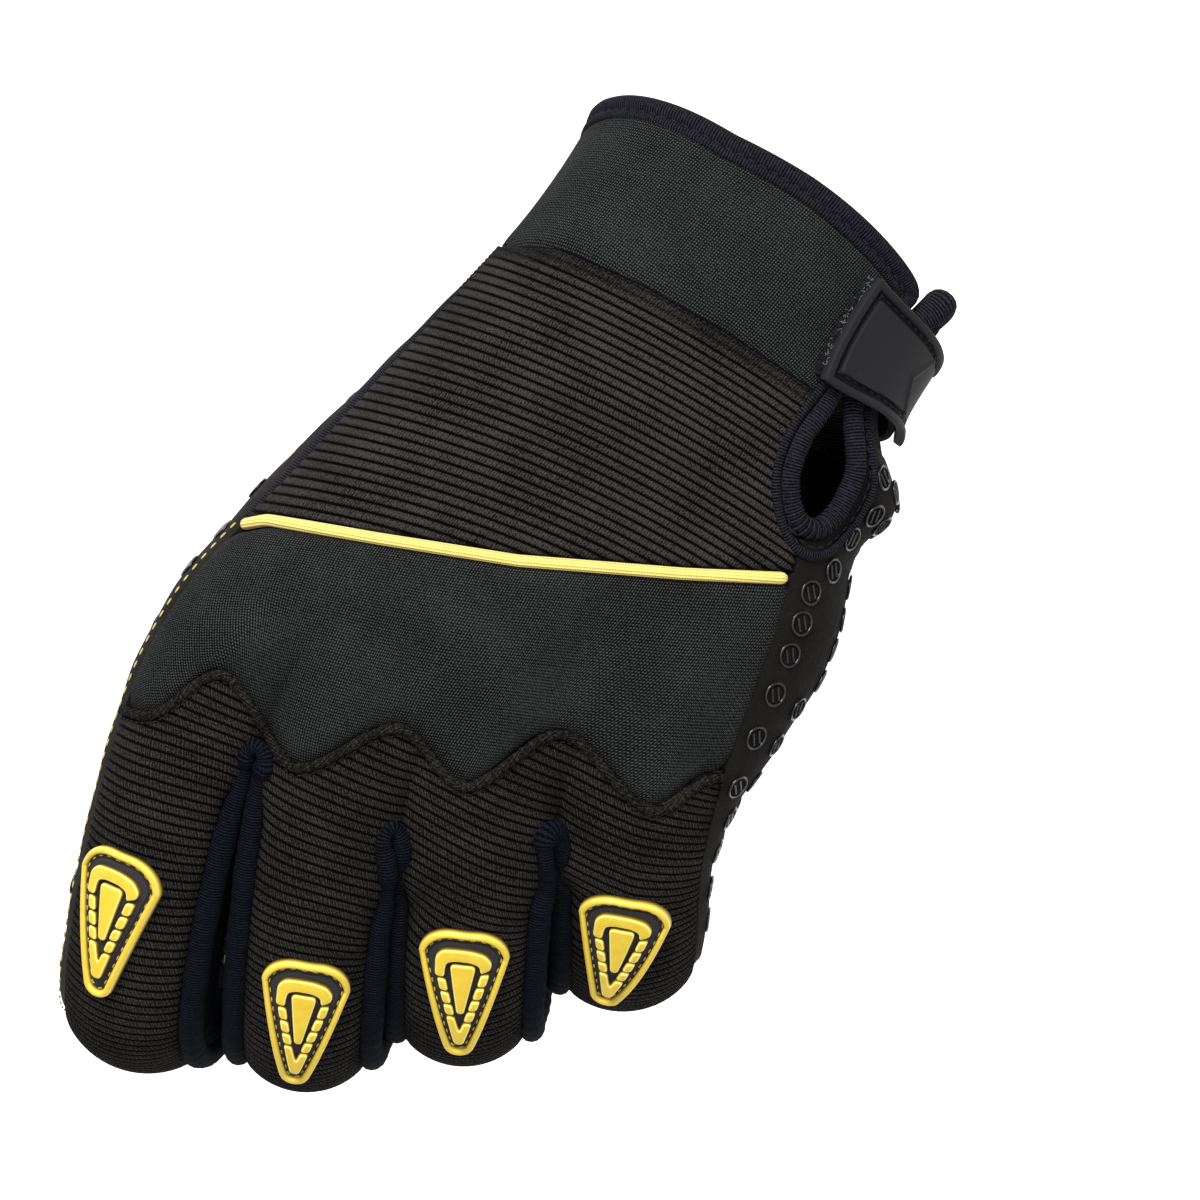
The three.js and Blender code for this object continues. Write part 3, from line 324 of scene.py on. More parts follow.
def faces_of(patches):
    """Corner numbers of every face of some patches, with those of the corners that coincide made one."""
    base = np.concatenate([p.points.reshape(-1, 3) for p in patches])
    _, first, same = np.unique(np.round(base * 400).astype(np.int64), axis=0, return_index=True,
                               return_inverse=True)
    same = same.reshape(-1)
    quads, start = [], 0
    for p in patches:
        rows, cols = p.points.shape[:2]
        grid = np.arange(rows * cols).reshape(rows, cols) + start
        start += rows * cols
        a, b, c, d = grid[:-1, :-1], grid[1:, :-1], grid[1:, 1:], grid[:-1, 1:]
        quad = np.stack([a, b, c, d] if not p.turned else [a, d, c, b], -1).reshape(-1, 4)
        quads.append(quad)
    corners = np.concatenate(quads)
    faces = []
    for row in corners.tolist():
        kept = [k for n, k in enumerate(row) if same[k] != same[row[n - 1]]]
        if len({int(same[k]) for k in kept}) == len(kept) > 2:
            faces.append(kept)
    return faces, same, len(first)


def averaged(values, same, count):
    total = np.zeros((count,) + values.shape[1:])
    np.add.at(total, same, values)
    shares = np.bincount(same, minlength=count).astype(float)
    return total / shares.reshape((-1,) + (1,) * (values.ndim - 1))


def mesh_object(name, points, faces, uvs=None, tone=None, crease=50):
    """A mesh object in metres from points in millimetres; uvs holds one pair a face corner."""
    mesh = bpy.data.meshes.new(name)
    mesh.from_pydata((np.asarray(points) / 1000).tolist(), [], faces)
    if uvs is not None:
        mesh.uv_layers.new(name="UVMap").uv.foreach_set("vector", np.asarray(uvs, np.float32).ravel())
    if tone is not None:
        mesh.attributes.new("tone", "FLOAT", "POINT").data.foreach_set("value", np.asarray(tone, np.float32))
    mesh.shade_smooth()
    mesh.set_sharp_from_angle(angle=math.radians(crease))
    made = bpy.data.objects.new(name, mesh)
    bpy.context.scene.collection.objects.link(made)
    return made


def sewn(name, patches, thickness, inset=0.03, drop=None):
    """One panel: the patches' outer face, an inner face thickness below it, and the cut edge between."""
    faces, same, count = faces_of(patches)
    flat = lambda field: np.concatenate([getattr(p, field).reshape(-1) for p in patches])
    stacked = lambda field: np.concatenate([getattr(p, field).reshape(-1, 3) for p in patches])
    points = averaged(stacked("points"), same, count)
    outs = unit(averaged(stacked("outs"), same, count))
    relief, tone = averaged(flat("relief"), same, count), averaged(flat("tone"), same, count)
    uv = np.stack([flat("u"), flat("v")], -1)
    if drop is not None:
        points, gone = drop(points, outs)
        faces = [f for f in faces if not any(gone[same[k]] for k in f)]
    edges = {}
    for face in faces:
        for n, k in enumerate(face):
            edges[(int(same[k]), int(same[face[n - 1]]))] = (k, face[n - 1])
    rim = [(a, b, pair) for (b, a), pair in edges.items() if (a, b) not in edges]
    pulled = np.zeros_like(points)
    for a, b, _ in rim:
        inward = np.cross(outs[a] + outs[b], points[b] - points[a])
        inward /= max(np.linalg.norm(inward), 1e-9)
        pulled[a] += inward
        pulled[b] += inward
    points = points + unit(pulled) * inset * (np.linalg.norm(pulled, axis=1, keepdims=True) > 1e-6)
    outer, inner = points + outs * relief[:, None], points - outs * thickness
    welded = [[int(same[k]) for k in f] for f in faces]
    walls = welded + [[k + count for k in reversed(f)] for f in welded]
    uvs = [uv[k] for f in faces for k in f] + [uv[k] for f in faces for k in reversed(f)]
    for a, b, (kb, ka) in rim:
        walls.append([a, a + count, b + count, b])
        uvs += [uv[ka], uv[ka], uv[kb], uv[kb]]
    return mesh_object(name, np.concatenate([outer, inner]), walls, uvs,
                       np.concatenate([tone, tone * 0 + 0.6]))


class Wire:
    """A socket of a material that takes part in sums: its operators add Math nodes."""

    def __init__(self, finish, socket):
        self.finish, self.socket = finish, socket

    def maths(self, operation, *values):
        return self.finish.node("ShaderNodeMath", values, operation=operation)

    def __add__(self, other):
        return self.maths("ADD", self, other)

    def __sub__(self, other):
        return self.maths("SUBTRACT", self, other)

    def __rsub__(self, other):
        return self.maths("SUBTRACT", other, self)

    def __mul__(self, other):
        return self.maths("MULTIPLY", self, other)

    __radd__, __rmul__ = __add__, __mul__

    def wave(self, pitch):
        """From -1 to 1 and back over every pitch."""
        return (self * (2 * math.pi / pitch)).maths("SINE", self * (2 * math.pi / pitch))

    def held(self, low, high):
        return self.finish.node("ShaderNodeMapRange", {0: self, 1: low, 2: high, 3: 0, 4: 1},
                                interpolation_type="SMOOTHSTEP")


class Finish:
    """A material: one surface shader, and the nodes that feed it."""

    def __init__(self, name, **surface):
        self.material = bpy.data.materials.new(name)
        self.material.use_nodes = True
        self.tree = self.material.node_tree
        self.surface = self.tree.nodes["Principled BSDF"]
        for socket, value in surface.items():
            self.surface.inputs[socket.replace("_", " ")].default_value = value

    def node(self, kind, inputs=(), out=0, **settings):
        made = self.tree.nodes.new(kind)
        for key, value in settings.items():
            setattr(made, key, value)
        for key, value in inputs.items() if isinstance(inputs, dict) else enumerate(inputs):
            if isinstance(value, Wire):
                self.tree.links.new(value.socket, made.inputs[key])
            else:
                made.inputs[key].default_value = value
        return Wire(self, made.outputs[out])

    def cloth_place(self):
        """Millimetres across and along the cloth."""
        place = self.node("ShaderNodeSeparateXYZ", [self.node("ShaderNodeUVMap", uv_map="UVMap")])
        return place, self.node_output(place, 1)

    def node_output(self, wire, number):
        return Wire(self, wire.socket.node.outputs[number])

    def tone(self):
        return self.node("ShaderNodeAttribute", out=2, attribute_name="tone")

    def noise(self, size, detail=2.0, rough=0.5):
        """Soft noise from 0 to 1 with spots about size mm across."""
        place = self.node("ShaderNodeTexCoord", out=3)
        return self.node("ShaderNodeTexNoise",
                         {"Vector": place, "Scale": 1000 / size, "Detail": detail, "Roughness": rough})

    def blend(self, share, a, b):
        return self.node("ShaderNodeMix", {0: share, 6: a, 7: b}, out=2, data_type="RGBA")

    def feed(self, socket, wire):
        self.tree.links.new(wire.socket, self.surface.inputs[socket])

    def bump(self, height, depth):
        """depth is in millimetres for a height of 1."""
        self.feed("Normal", self.node("ShaderNodeBump",
                                      {"Strength": 1.0, "Distance": depth / 1000, "Height": height}))


def ink(red, green, blue):
    """A colour given as it shows on a screen, 0 to 255."""
    straight = [((c / 255 + 0.055) / 1.055) ** 2.4 if c > 10 else c / 255 / 12.92 for c in (red, green, blue)]
    return (*straight, 1)


def finished(piece, finish, slot, *nodes):
    """Gives a piece its material and its place on the hand's one body, and hides the imported solids that it
    stands for.
    """
    piece.data.materials.clear()
    piece.data.materials.append(finish.material)
    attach(piece, "root")
    if nodes:
        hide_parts(*nodes)
    return piece


neoprene = Finish("neoprene_knit", Roughness=0.95, Specular_IOR_Level=0.06)
x, y = neoprene.cloth_place()
wales = (x + y * 0.06).wave(0.46) * 0.5 + 0.5
courses = (y + (x + y * 0.06).wave(0.92) * 0.06).wave(0.52) * 0.5 + 0.5
mottled = neoprene.noise(0.3, 3, 0.7).held(0.25, 0.75)
clouded = neoprene.noise(11, 3)
lit = wales * courses * 0.75 + wales * 0.15 + mottled * 0.45 + clouded * 0.3
neoprene.feed("Base Color", neoprene.blend(lit.held(0.35, 1.5), ink(3, 4, 4), ink(79, 81, 80)))
neoprene.bump(wales * courses + mottled * 0.3, 0.1)

CLOTH_WALL = {"neoprene": 2.4, "ribbed": 1.8, "suede": 1.6, "knit": 1.5}


def eased(distance, reach):
    """1 at an edge, falling to 0 within a few reaches of it."""
    return np.exp(-((distance / reach) ** 1.3))


def palm_start(u):
    """The palm side's seam runs evenly from the back's one outer edge to the other."""
    ends = seam_station("cuff", [1e-4, 4 - 1e-4])
    return lerp(ends[0], ends[1], smooth(u / 4))


def cuff_patch(palm):
    u = columns(0, 4, 0.85, 88)
    end = palm_start(u) if palm else seam_station("cuff", u)
    rows = np.linspace(0, 1, 32)[:, None]
    made = Patch(*over_hand(u[None], lerp(CUFF_TOP, end[None], rows), palm), turned=palm)
    soft = 0.16 * np.sin(made.u / 6.1 + 1.0) * np.sin(made.along / 4.7 + made.u / 15)
    made.relief = soft - 0.9 * eased(made.from_end, 1.0) - 0.3 * eased(made.along, 1.0)
    return made


def flare(points):
    """How far the palm side's bound corner beside the slit springs out, from 1 there to 0 around it."""
    middle = np.interp(CUFF_TOP, EDGE_STATIONS, LITTLE_EDGE)
    corner = ring_point(3, middle + slit_angle(CUFF_TOP), CUFF_TOP)[0]
    return np.exp(-np.sum((points - corner) ** 2, -1, keepdims=True) / (2 * 4.2**2))


SPRUNG = np.array([4.4, 1.9, 0.8])
cuff_patches = [cuff_patch(False), cuff_patch(True)]
cuff_patches[1].points = cuff_patches[1].points + flare(cuff_patches[1].points) * SPRUNG
cuff = sewn("cuff_neoprene", cuff_patches, CLOTH_WALL["neoprene"])
finished(cuff, neoprene, "neoprene", "cuff")


# Cuff binding: navy knit tape folded over the wrist edge and the slit's edges, with the turned-in fold
# and its line of dark stitches below the roll.


def navy_look(name, low, high):
    made = Finish(name, Roughness=0.95, Specular_IOR_Level=0.06)
    x, y = made.cloth_place()
    ribs = (y + (x * 1.6).wave(1.0) * 0.03).wave(0.5) * 0.5 + 0.5
    loops = (x + y).wave(0.42) * 0.5 + 0.5
    mottled = made.noise(0.5, 3, 0.6).held(0.25, 0.75)
    made.feed("Base Color", made.blend((ribs * 0.6 + loops * 0.15 + mottled * 0.4).held(0.2, 1.1), low, high))
    made.bump(ribs + loops * 0.4 + mottled * 0.4, 0.1)
    return made


navy = navy_look("navy_knit", ink(2, 2, 4), ink(45, 44, 53))


def travelled(path):
    """Lengths from the first point of a line to each of its points."""
    return np.concatenate([[0], np.cumsum(np.linalg.norm(np.diff(path, axis=0), axis=1))])


def resampled(path, pitch, *fields):
    """Even steps along a path, with whatever else is given at its points."""
    length = travelled(path)
    even = np.linspace(0, length[-1], max(int(length[-1] / pitch), 4) + 1)
    return [np.stack([np.interp(even, length, v[:, c]) for c in range(v.shape[1])], 1)
            for v in (path, *fields)]


def rounded(values, passes):
    """Takes the corners off a line, keeping its ends."""
    values = values.copy()
    for _ in range(passes):
        values[1:-1] = values[1:-1] * 0.5 + (values[:-2] + values[2:]) * 0.25
    return values


def swept(name, path, ups, profile, size=None, tone=1.0):
    """A solid drawn along a path. profile lists points across it, to the side and up, in mm."""
    profile = np.asarray(profile, float)
    along = unit(np.gradient(path, axis=0))
    ups = unit(ups - along * (ups * along).sum(1, keepdims=True))
    side = np.cross(along, ups)
    size = np.ones(len(path)) if size is None else size.copy()
    for k, share in enumerate((0.55, 0.88)):
        size[k] *= share
        size[-1 - k] *= share
    rings = path[:, None] + (side[:, None] * profile[None, :, :1]
                             + ups[:, None] * profile[None, :, 1:]) * size[:, None, None]
    count, around = len(path), len(profile)
    girth, length = travelled(np.vstack([profile, profile[:1]])), travelled(path)
    faces, uvs = [], []
    for r in range(count - 1):
        for c in range(around):
            d = (c + 1) % around
            faces.append([r * around + c, r * around + d, (r + 1) * around + d, (r + 1) * around + c])
            uvs += [(girth[c], length[r]), (girth[c + 1], length[r]), (girth[c + 1], length[r + 1]),
                    (girth[c], length[r + 1])]
    for r in (0, count - 1):
        ring = [r * around + c for c in range(around)]
        faces.append(ring if r else ring[::-1])
        uvs += [(0.0, length[r])] * around
    points = rings.reshape(-1, 3)
    a, b, c = (points[[f[k] for f in faces]] for k in range(3))
    if np.einsum("ij,ij->", a - points.mean(0), np.cross(b - a, c - a)) < 0:
        faces = [f[::-1] for f in faces]
        turned = []
        for start in range(0, len(uvs) - 2 * around, 4):
            turned += uvs[start : start + 4][::-1]
        uvs = turned + uvs[len(turned) :]
    return mesh_object(name, points, faces, uvs, np.repeat(np.broadcast_to(tone, count), around), crease=60)


def oval(half_width, half_height, count):
    turn = np.arange(count) / count * 2 * np.pi
    return np.stack([np.cos(turn) * half_width, np.sin(turn) * half_height], 1)


def joined(name, parts):
    """Several meshes as one object."""
    bpy.ops.object.select_all(action="DESELECT")
    for part in parts:
        part.select_set(True)
    bpy.context.view_layer.objects.active = parts[0]
    bpy.ops.object.join()
    parts[0].name = parts[0].data.name = name
    return parts[0]


def slit_point(side, station, margin, lift):
    """Beside the slit's edge, margin mm into the slit, or onto the cloth where it is negative."""
    radius = ray_values(3, station)[..., 3] + 7
    middle = np.interp(station, EDGE_STATIONS, LITTLE_EDGE)
    point, out = ring_point(3, middle + side * (slit_angle(station) - np.degrees(margin / radius)), station)
    return point + out * lift, out


def cuff_line(margin, lift):
    """Along the slit's edge, round the wrist opening and back along the slit's other edge."""
    rise = CUFF_TOP - margin / STATION_LENGTH
    slit = np.linspace(0.84, rise, 60)
    u = np.linspace(4, 0, 160)[1:]
    parts = [slit_point(-1, slit, margin, lift)]
    for palm, places in ((False, u), (True, u[::-1])):
        point, out = over_hand(places, np.full(places.shape, rise), palm)
        parts.append((point + out * lift, out))
    parts.append(slit_point(1, slit[::-1], margin, lift))
    path, ups = (np.concatenate([p[k] for p in parts]) for k in (0, 1))
    palm_side = np.arange(len(path))[:, None] > len(path) - 60 - 120
    path = path + flare(path) * SPRUNG * palm_side
    return rounded(path, 12), rounded(ups, 12)


line = cuff_line(1.3, -0.7)
roll_path, roll_ups = resampled(line[0], 0.6, line[1])
ending = np.arange(len(roll_path)) > len(roll_path) / 2
roll = swept("cuff_roll", roll_path, roll_ups, oval(1.75, 2.0, 16),
             size=1 + 0.4 * flare(roll_path - SPRUNG * 0.9)[:, 0] * ending)
line = cuff_line(-2.0, 0.15)
fold_path, fold_ups = resampled(line[0], 0.6, line[1])
fold = swept("cuff_fold", fold_path, fold_ups, oval(0.85, 0.75, 12))
binding = joined("cuff_binding_tape", [roll, fold])
finished(binding, navy, "navy_knit", "cuff_binding")


def stitch_tree():
    """Stitches of one thread along every line of a mesh."""
    tree = bpy.data.node_groups.new("stitch_line", "GeometryNodeTree")
    tree.interface.new_socket("Lines", in_out="INPUT", socket_type="NodeSocketGeometry")
    for name in ("Pitch", "Length", "Width"):
        tree.interface.new_socket(name, in_out="INPUT", socket_type="NodeSocketFloat")
    tree.interface.new_socket("Thread", in_out="INPUT", socket_type="NodeSocketMaterial")
    tree.interface.new_socket("Stitches", in_out="OUTPUT", socket_type="NodeSocketGeometry")
    add, link = tree.nodes.new, tree.links.new
    given, made = add("NodeGroupInput"), add("NodeGroupOutput")
    curve, even = add("GeometryNodeMeshToCurve"), add("GeometryNodeResampleCurve")
    place, bead = add("GeometryNodeInstanceOnPoints"), add("GeometryNodeMeshUVSphere")
    tangent, turn = add("GeometryNodeInputTangent"), add("FunctionNodeAlignRotationToVector")
    size, real = add("ShaderNodeCombineXYZ"), add("GeometryNodeRealizeInstances")
    soft, thread = add("GeometryNodeSetShadeSmooth"), add("GeometryNodeSetMaterial")
    even.mode = "LENGTH"
    turn.axis = "Z"
    for name, value in (("Segments", 8), ("Rings", 6), ("Radius", 0.5)):
        bead.inputs[name].default_value = value
    link(given.outputs["Lines"], curve.inputs[0])
    link(curve.outputs[0], even.inputs["Curve"])
    link(given.outputs["Pitch"], even.inputs["Length"])
    link(even.outputs[0], place.inputs["Points"])
    link(bead.outputs["Mesh"], place.inputs["Instance"])
    link(tangent.outputs[0], turn.inputs["Vector"])
    link(turn.outputs[0], place.inputs["Rotation"])
    for socket, name in zip(size.inputs, ("Width", "Width", "Length")):
        link(given.outputs[name], socket)
    link(size.outputs[0], place.inputs["Scale"])
    link(place.outputs[0], real.inputs[0])
    link(real.outputs[0], soft.inputs[0])
    link(soft.outputs[0], thread.inputs["Geometry"])
    link(given.outputs["Thread"], thread.inputs["Material"])
    link(thread.outputs[0], made.inputs[0])
    return tree


STITCHES = stitch_tree()


def grown(name, source, tree, **inputs):
    """What a tree makes of a source object, as a plain mesh piece."""
    modifier = source.modifiers.new("made", "NODES")
    modifier.node_group = tree
    for socket in tree.interface.items_tree:
        if socket.in_out == "INPUT" and socket.name in inputs:
            modifier[socket.identifier] = inputs[socket.name]
    source.update_tag()
    bpy.context.view_layer.update()
    mesh = bpy.data.meshes.new_from_object(source.evaluated_get(bpy.context.evaluated_depsgraph_get()))
    made = bpy.data.objects.new(name, mesh)
    mesh.name = name
    bpy.context.scene.collection.objects.link(made)
    bpy.data.objects.remove(source)
    return made


def stitched(name, lines, pitch, length, width, thread, slot):
    """A row of stitches along each line of points."""
    points, edges, start = [], [], 0
    for line in lines:
        points += (np.asarray(line) / 1000).tolist()
        edges += [(start + k, start + k + 1) for k in range(len(line) - 1)]
        start += len(line)
    mesh = bpy.data.meshes.new(name + "_lines")
    mesh.from_pydata(points, edges, [])
    source = bpy.data.objects.new(name + "_lines", mesh)
    bpy.context.scene.collection.objects.link(source)
    made = grown(name, source, STITCHES, Pitch=pitch / 1000, Length=length / 1000, Width=width / 1000,
                 Thread=thread.material)
    return finished(made, thread, slot)


dark_thread = Finish("dark_thread", Roughness=0.75, Specular_IOR_Level=0.15)
twist = dark_thread.noise(0.25, 2)
dark_thread.feed("Base Color", dark_thread.blend(twist, ink(7, 7, 10), ink(40, 40, 48)))
dark_thread.bump(twist, 0.08)
stitched("cuff_stitches", [cuff_line(-0.95, 0.55)[0]], 2.1, 1.5, 0.34, dark_thread, "navy_knit")


# Back of the hand: ottoman cloth, whose brown ribs slant across the hand over grooves coloured near black,
# the cloth's dark ground deepened by painted shade. Its top edge is turned in and sewn flat over the cuff's
# edge.


def ribbed_look(name, groove, slant, loop, waffle):
    """Ottoman cloth: loops across its ribs, near-black grooves (dark ground with painted shade), and cells
    where it is stretched to a waffle.
    """
    made = Finish(name, Roughness=1.0, Specular_IOR_Level=0.05)
    x, y = made.cloth_place()
    row = x + y * slant + made.noise(3, 2) * 0.6
    loops = (row.wave(loop) * 0.5 + 0.5) * 0.75 + (row.wave(loop * 2) * 0.5 + 0.5) * 0.25
    cells = (row.wave(0.67) * 0.5 + 0.5) * 0.6 + (y.wave(0.83) * 0.5 + 0.5) * 0.4
    speckled = made.noise(0.25, 3, 0.7).held(0.3, 0.72)
    worn = made.noise(9, 3).held(0.25, 0.75)
    # The tone attribute carries the ribs' height, so the grooves go near black: the cloth's dark ground with
    # painted shade. It also carries painted shade along seamed edges.
    rib = made.tone().held(groove, 0.98) * (1 - (1 - cells) * waffle)
    share = rib * (loops * 0.45 + speckled * 0.65 + worn * 0.2) + speckled * 0.15 - 0.05
    made.feed("Base Color", made.blend(share.held(0.12, 1.05), ink(3, 3, 3), ink(64, 60, 57)))
    made.bump(rib * (loops * 0.7 + speckled * 0.4), 0.14)
    return made


ribbed = ribbed_look("ribbed_cloth", 0.3, 0.12, 0.48, 0.0)


def rib_profile(phase):
    """Height from 0 in the groove to 1 on the rib, at a phase counted in ribs."""
    away = 2 * (phase - np.floor(phase)) - 1
    return np.sqrt(np.clip(1 - 0.97 * away**2, 0, 1))


def ribbed_patch(place, u, start, end, phase_of, steps):
    """A patch whose rows run along the ribs, steps rows to a rib, cut off at its first and last stations."""
    dense = lerp(start[None], end[None], np.linspace(0, 1, 200)[:, None])
    phase = phase_of(place(u[None], dense)[0], u[None], dense)
    phase = np.maximum.accumulate(phase, 0) + np.arange(200)[:, None] * 1e-7
    lines = np.arange(math.floor(phase.min() * steps), math.ceil(phase.max() * steps) + 1) / steps
    station = np.stack([np.interp(lines, phase[:, c], dense[:, c]) for c in range(len(u))], 1)
    made = Patch(*place(u[None], station))
    made.station = station
    made.phase = np.clip(lines[:, None], phase[:1], phase[-1:])
    return made


RIB_PITCH, RIB_HEIGHT = 1.52, 0.36


def back_phase(points, u, station):
    """Ribs counted down the back: they slant more and lie closer towards the little finger."""
    aside = points[..., 0] + 18.7
    return -(0.312 * aside + 0.00185 * aside**2 + 0.6 * points[..., 1])


u = columns(0, 4, 0.95, 98)
back = ribbed_patch(over_hand, u, seam_station("cuff", u), seam_station("piping", u, -1.0), back_phase, 6)
flat_band = 1 - smooth((back.along - 2.4) / 1.6)
hem = np.minimum(back.from_end, back.from_right)
ribs = rib_profile(back.phase) * (1 - 0.85 * flat_band)
back.relief = RIB_HEIGHT * (ribs - 0.55) + 0.45 * flat_band
back.relief = back.relief - 0.5 * eased(back.along, 0.35) - 0.5 * eased(hem, 0.8)
# Tone: the ribs' height, raised on the flat band, and lowered as painted shade where the cloth dips at its
# hem and its top edge.
back.tone = np.clip(ribs + 0.55 * flat_band, 0, 1)
back.tone = back.tone * (1 - 0.5 * eased(hem, 0.5)) * (1 - 0.5 * eased(back.along, 0.3))
back.v = back.phase * RIB_PITCH
rib_panel = sewn("back_ribbed_cloth", [back], CLOTH_WALL["ribbed"])
finished(rib_panel, ribbed, "ribbed_cloth", "rib_panel")
hem_line = over_hand(np.linspace(0.05, 3.9, 200), seam_station("cuff", np.linspace(0.05, 3.9, 200), 0.75))
stitched("back_hem_stitches", [hem_line[0] + hem_line[1] * 0.42], 1.15, 0.8, 0.22, dark_thread,
         "ribbed_cloth")


# Piping: a bright yellow cord covered in cloth cut along its ribs. It is sewn into the seam below the back's
# ribbed cloth and stands up from it.

yellow_cloth = Finish("yellow_cord_cloth", Roughness=0.6, Sheen_Weight=0.2, Specular_IOR_Level=0.3)
x, y = yellow_cloth.cloth_place()
threads = x.wave(0.62) * 0.5 + 0.5
picks = y.wave(0.45) * 0.5 + 0.5
soiled = yellow_cloth.noise(5, 3)
lit = (threads * 0.6 + picks * 0.35 + soiled * 0.3).held(0.05, 1.0)
yellow_cloth.feed("Base Color", yellow_cloth.blend(lit, ink(196, 166, 62), ink(252, 232, 132)))
yellow_cloth.bump(threads + picks * 0.35, 0.1)

u = np.linspace(0.03, 3.97, 300)
point, out = over_hand(u, seam_station("piping", u))
path, ups = resampled(rounded(point - out * 0.25, 3), 0.5, out)
piping = swept("piping_cord", path, ups, oval(1.02, 1.02, 16))
finished(piping, yellow_cloth, "yellow_cord", "piping")


# Knuckle panel: the same neoprene as the cuff, padded out between the piping and the wave seam. Its edges
# dip where they are sewn down.

u = columns(0, 4, 0.8, 108)
rows = np.linspace(0, 1, 52)[:, None]
start, end = seam_station("piping", u, 1.0), seam_station("wave", u)
knuckle = Patch(*over_hand(u[None], lerp(start[None], end[None], rows)))
knuckle.relief = 0.15 - 0.75 * eased(knuckle.along, 1.1) - 1.1 * eased(knuckle.from_end, 1.6)
knuckle.relief -= 0.7 * eased(np.minimum(knuckle.across, knuckle.from_right), 1.0)
knuckle_panel = sewn("knuckle_neoprene", [knuckle], CLOTH_WALL["neoprene"])
finished(knuckle_panel, neoprene, "neoprene", "knuckle_panel")


# Fingers' backs: one piece of a finer ottoman cloth from the wave seam over the knuckles to the fingertips.
# Its ribs slant over the knuckles and turn square to each finger below the forks. The wave's edge is
# folded under, so it stands up as a soft roll.

FINGER_PITCH, FINGER_HEIGHT = 1.66, 0.3
TABLE = np.arange(2.2, POLE + 0.01, 0.02)
BACK_LENGTHS = [np.interp(TABLE, TABLE, measured(ring_point(f, 0, TABLE)[0][:, None], 0)[:, 0])
                for f in range(4)]
REFERENCE = 2.9


def fork_of(u):
    return np.interp(u, [0, 1, 2, 3, 4], [FORKS[0], *FORKS, FORKS[2]])


def back_length(place, station):
    """Length along the hand's back from the reference station, between the fingers' own lengths."""
    lengths = np.stack([np.interp(station, TABLE, row) - np.interp(REFERENCE, TABLE, row)
                        for row in BACK_LENGTHS])
    low = np.clip(np.floor(place).astype(int), 0, 2)
    f = np.clip(place - low, 0, 1)
    pick = lambda k: np.take_along_axis(lengths, np.broadcast_to(k, station.shape)[None], 0)[0]
    return lerp(pick(low), pick(low + 1), f)


def knuckle_slant(u):
    point = over_hand(np.clip(u, 1e-4, 4 - 1e-4), np.full(np.shape(u), REFERENCE))[0]
    turn = math.radians(27)
    return -point[..., 0] * math.sin(turn) - point[..., 1] * math.cos(turn)


def finger_phase(finger):
    def phase(points, u, station):
        u, station = np.broadcast_arrays(u, station)
        web = back_length(u - 0.5, station) + knuckle_slant(u[:1])
        own = back_length(np.full(u.shape, float(finger)), station) + knuckle_slant(np.array([finger + 0.5]))
        left = smooth((station - (FORKS[finger - 1] if finger else FORKS[0])) / 0.45)
        right = smooth((station - (FORKS[finger] if finger < 3 else FORKS[2])) / 0.45)
        return lerp(web, own, lerp(left, right, smooth(u - finger))) / FINGER_PITCH
    return phase


def open_edge(finger, station, right):
    """1 where a finger's side is an edge of its panel, 0 where the cloth runs on to the next finger."""
    boundary = finger if right else finger - 1
    if boundary < 0 or boundary > 2:
        return np.ones_like(station)
    return smooth((station - FORKS[boundary]) / 0.06)


finger_patches = []
for finger in range(4):
    u = np.linspace(finger, finger + 1, 22)
    made = ribbed_patch(lambda u, station: hand_point(finger, u, station), u, seam_station("wave", u),
                        np.full(u.shape, float(POLE)), finger_phase(finger), 6)
    begin = unit(np.gradient(made.points[0], axis=0))
    down = unit(made.points[np.argmax(made.along > 1.5, axis=0), np.arange(len(u))] - made.points[0])
    fold = made.along * np.linalg.norm(np.cross(begin, down), axis=-1)
    sides = [eased(made.across, 0.9) * open_edge(finger, made.station, False),
             eased(made.from_right, 0.9) * open_edge(finger, made.station, True)]
    roll = np.sqrt(np.clip(1 - ((fold - 0.85) / 0.95) ** 2, 0, 1))
    ribs = rib_profile(made.phase)
    made.relief = FINGER_HEIGHT * (ribs - 0.55) - 0.3 * roll - 0.2 * np.exp(-(((fold - 1.9) / 0.8) ** 2))
    made.relief -= 0.55 * (sides[0] + sides[1])
    # Tone: the ribs' height, lowered as painted shade along the seamed sides and in a faint band behind the
    # rolled wave edge.
    made.tone = ribs * (1 - 0.5 * (sides[0] + sides[1])) * (1 - 0.12 * np.exp(-(((fold - 1.8) / 0.6) ** 2)))
    made.v = made.phase * FINGER_PITCH
    finger_patches.append(made)
fine_ribbed = ribbed_look("fine_ribbed_cloth", 0.2, -0.4, 0.45, 0.5)
backs = sewn("finger_backs", finger_patches, CLOTH_WALL["ribbed"])
u = np.linspace(0.02, 3.98, 700)
point, out = over_hand(u, seam_station("wave", u, 0.85))
path, ups = resampled(rounded(point + out * 0.1, 4), 0.24, out)
place = np.arange(len(path)) * 0.24
uneven = 0.16 * np.sin(place * 4.2 + 1.3 * np.sin(place * 0.71)) + 0.07 * np.sin(place * 1.13)
# The turned edge's tone rises and falls with its thickness: painted light on its fuller parts.
turned_edge = swept("wave_edge", path, ups, oval(0.8, 0.6, 10), size=1 + uneven * 0.4,
                    tone=0.74 + uneven * 0.4)
fingers_back = joined("finger_backs_ribbed_cloth", [backs, turned_edge])
finished(fingers_back, fine_ribbed, "ribbed_cloth", "finger_panel")
point, out = over_hand(u, seam_station("wave", u, 2.05))
stitched("wave_stitches", [point + out * 0.12], 1.3, 0.9, 0.24, dark_thread, "ribbed_cloth")


# Fourchettes: navy rib knit folded between two fingers, from fingertip to fork and down the next finger.
# Along the ribbed cloth each side is gathered into a soft roll, and the rolls meet in an arch at the fork.

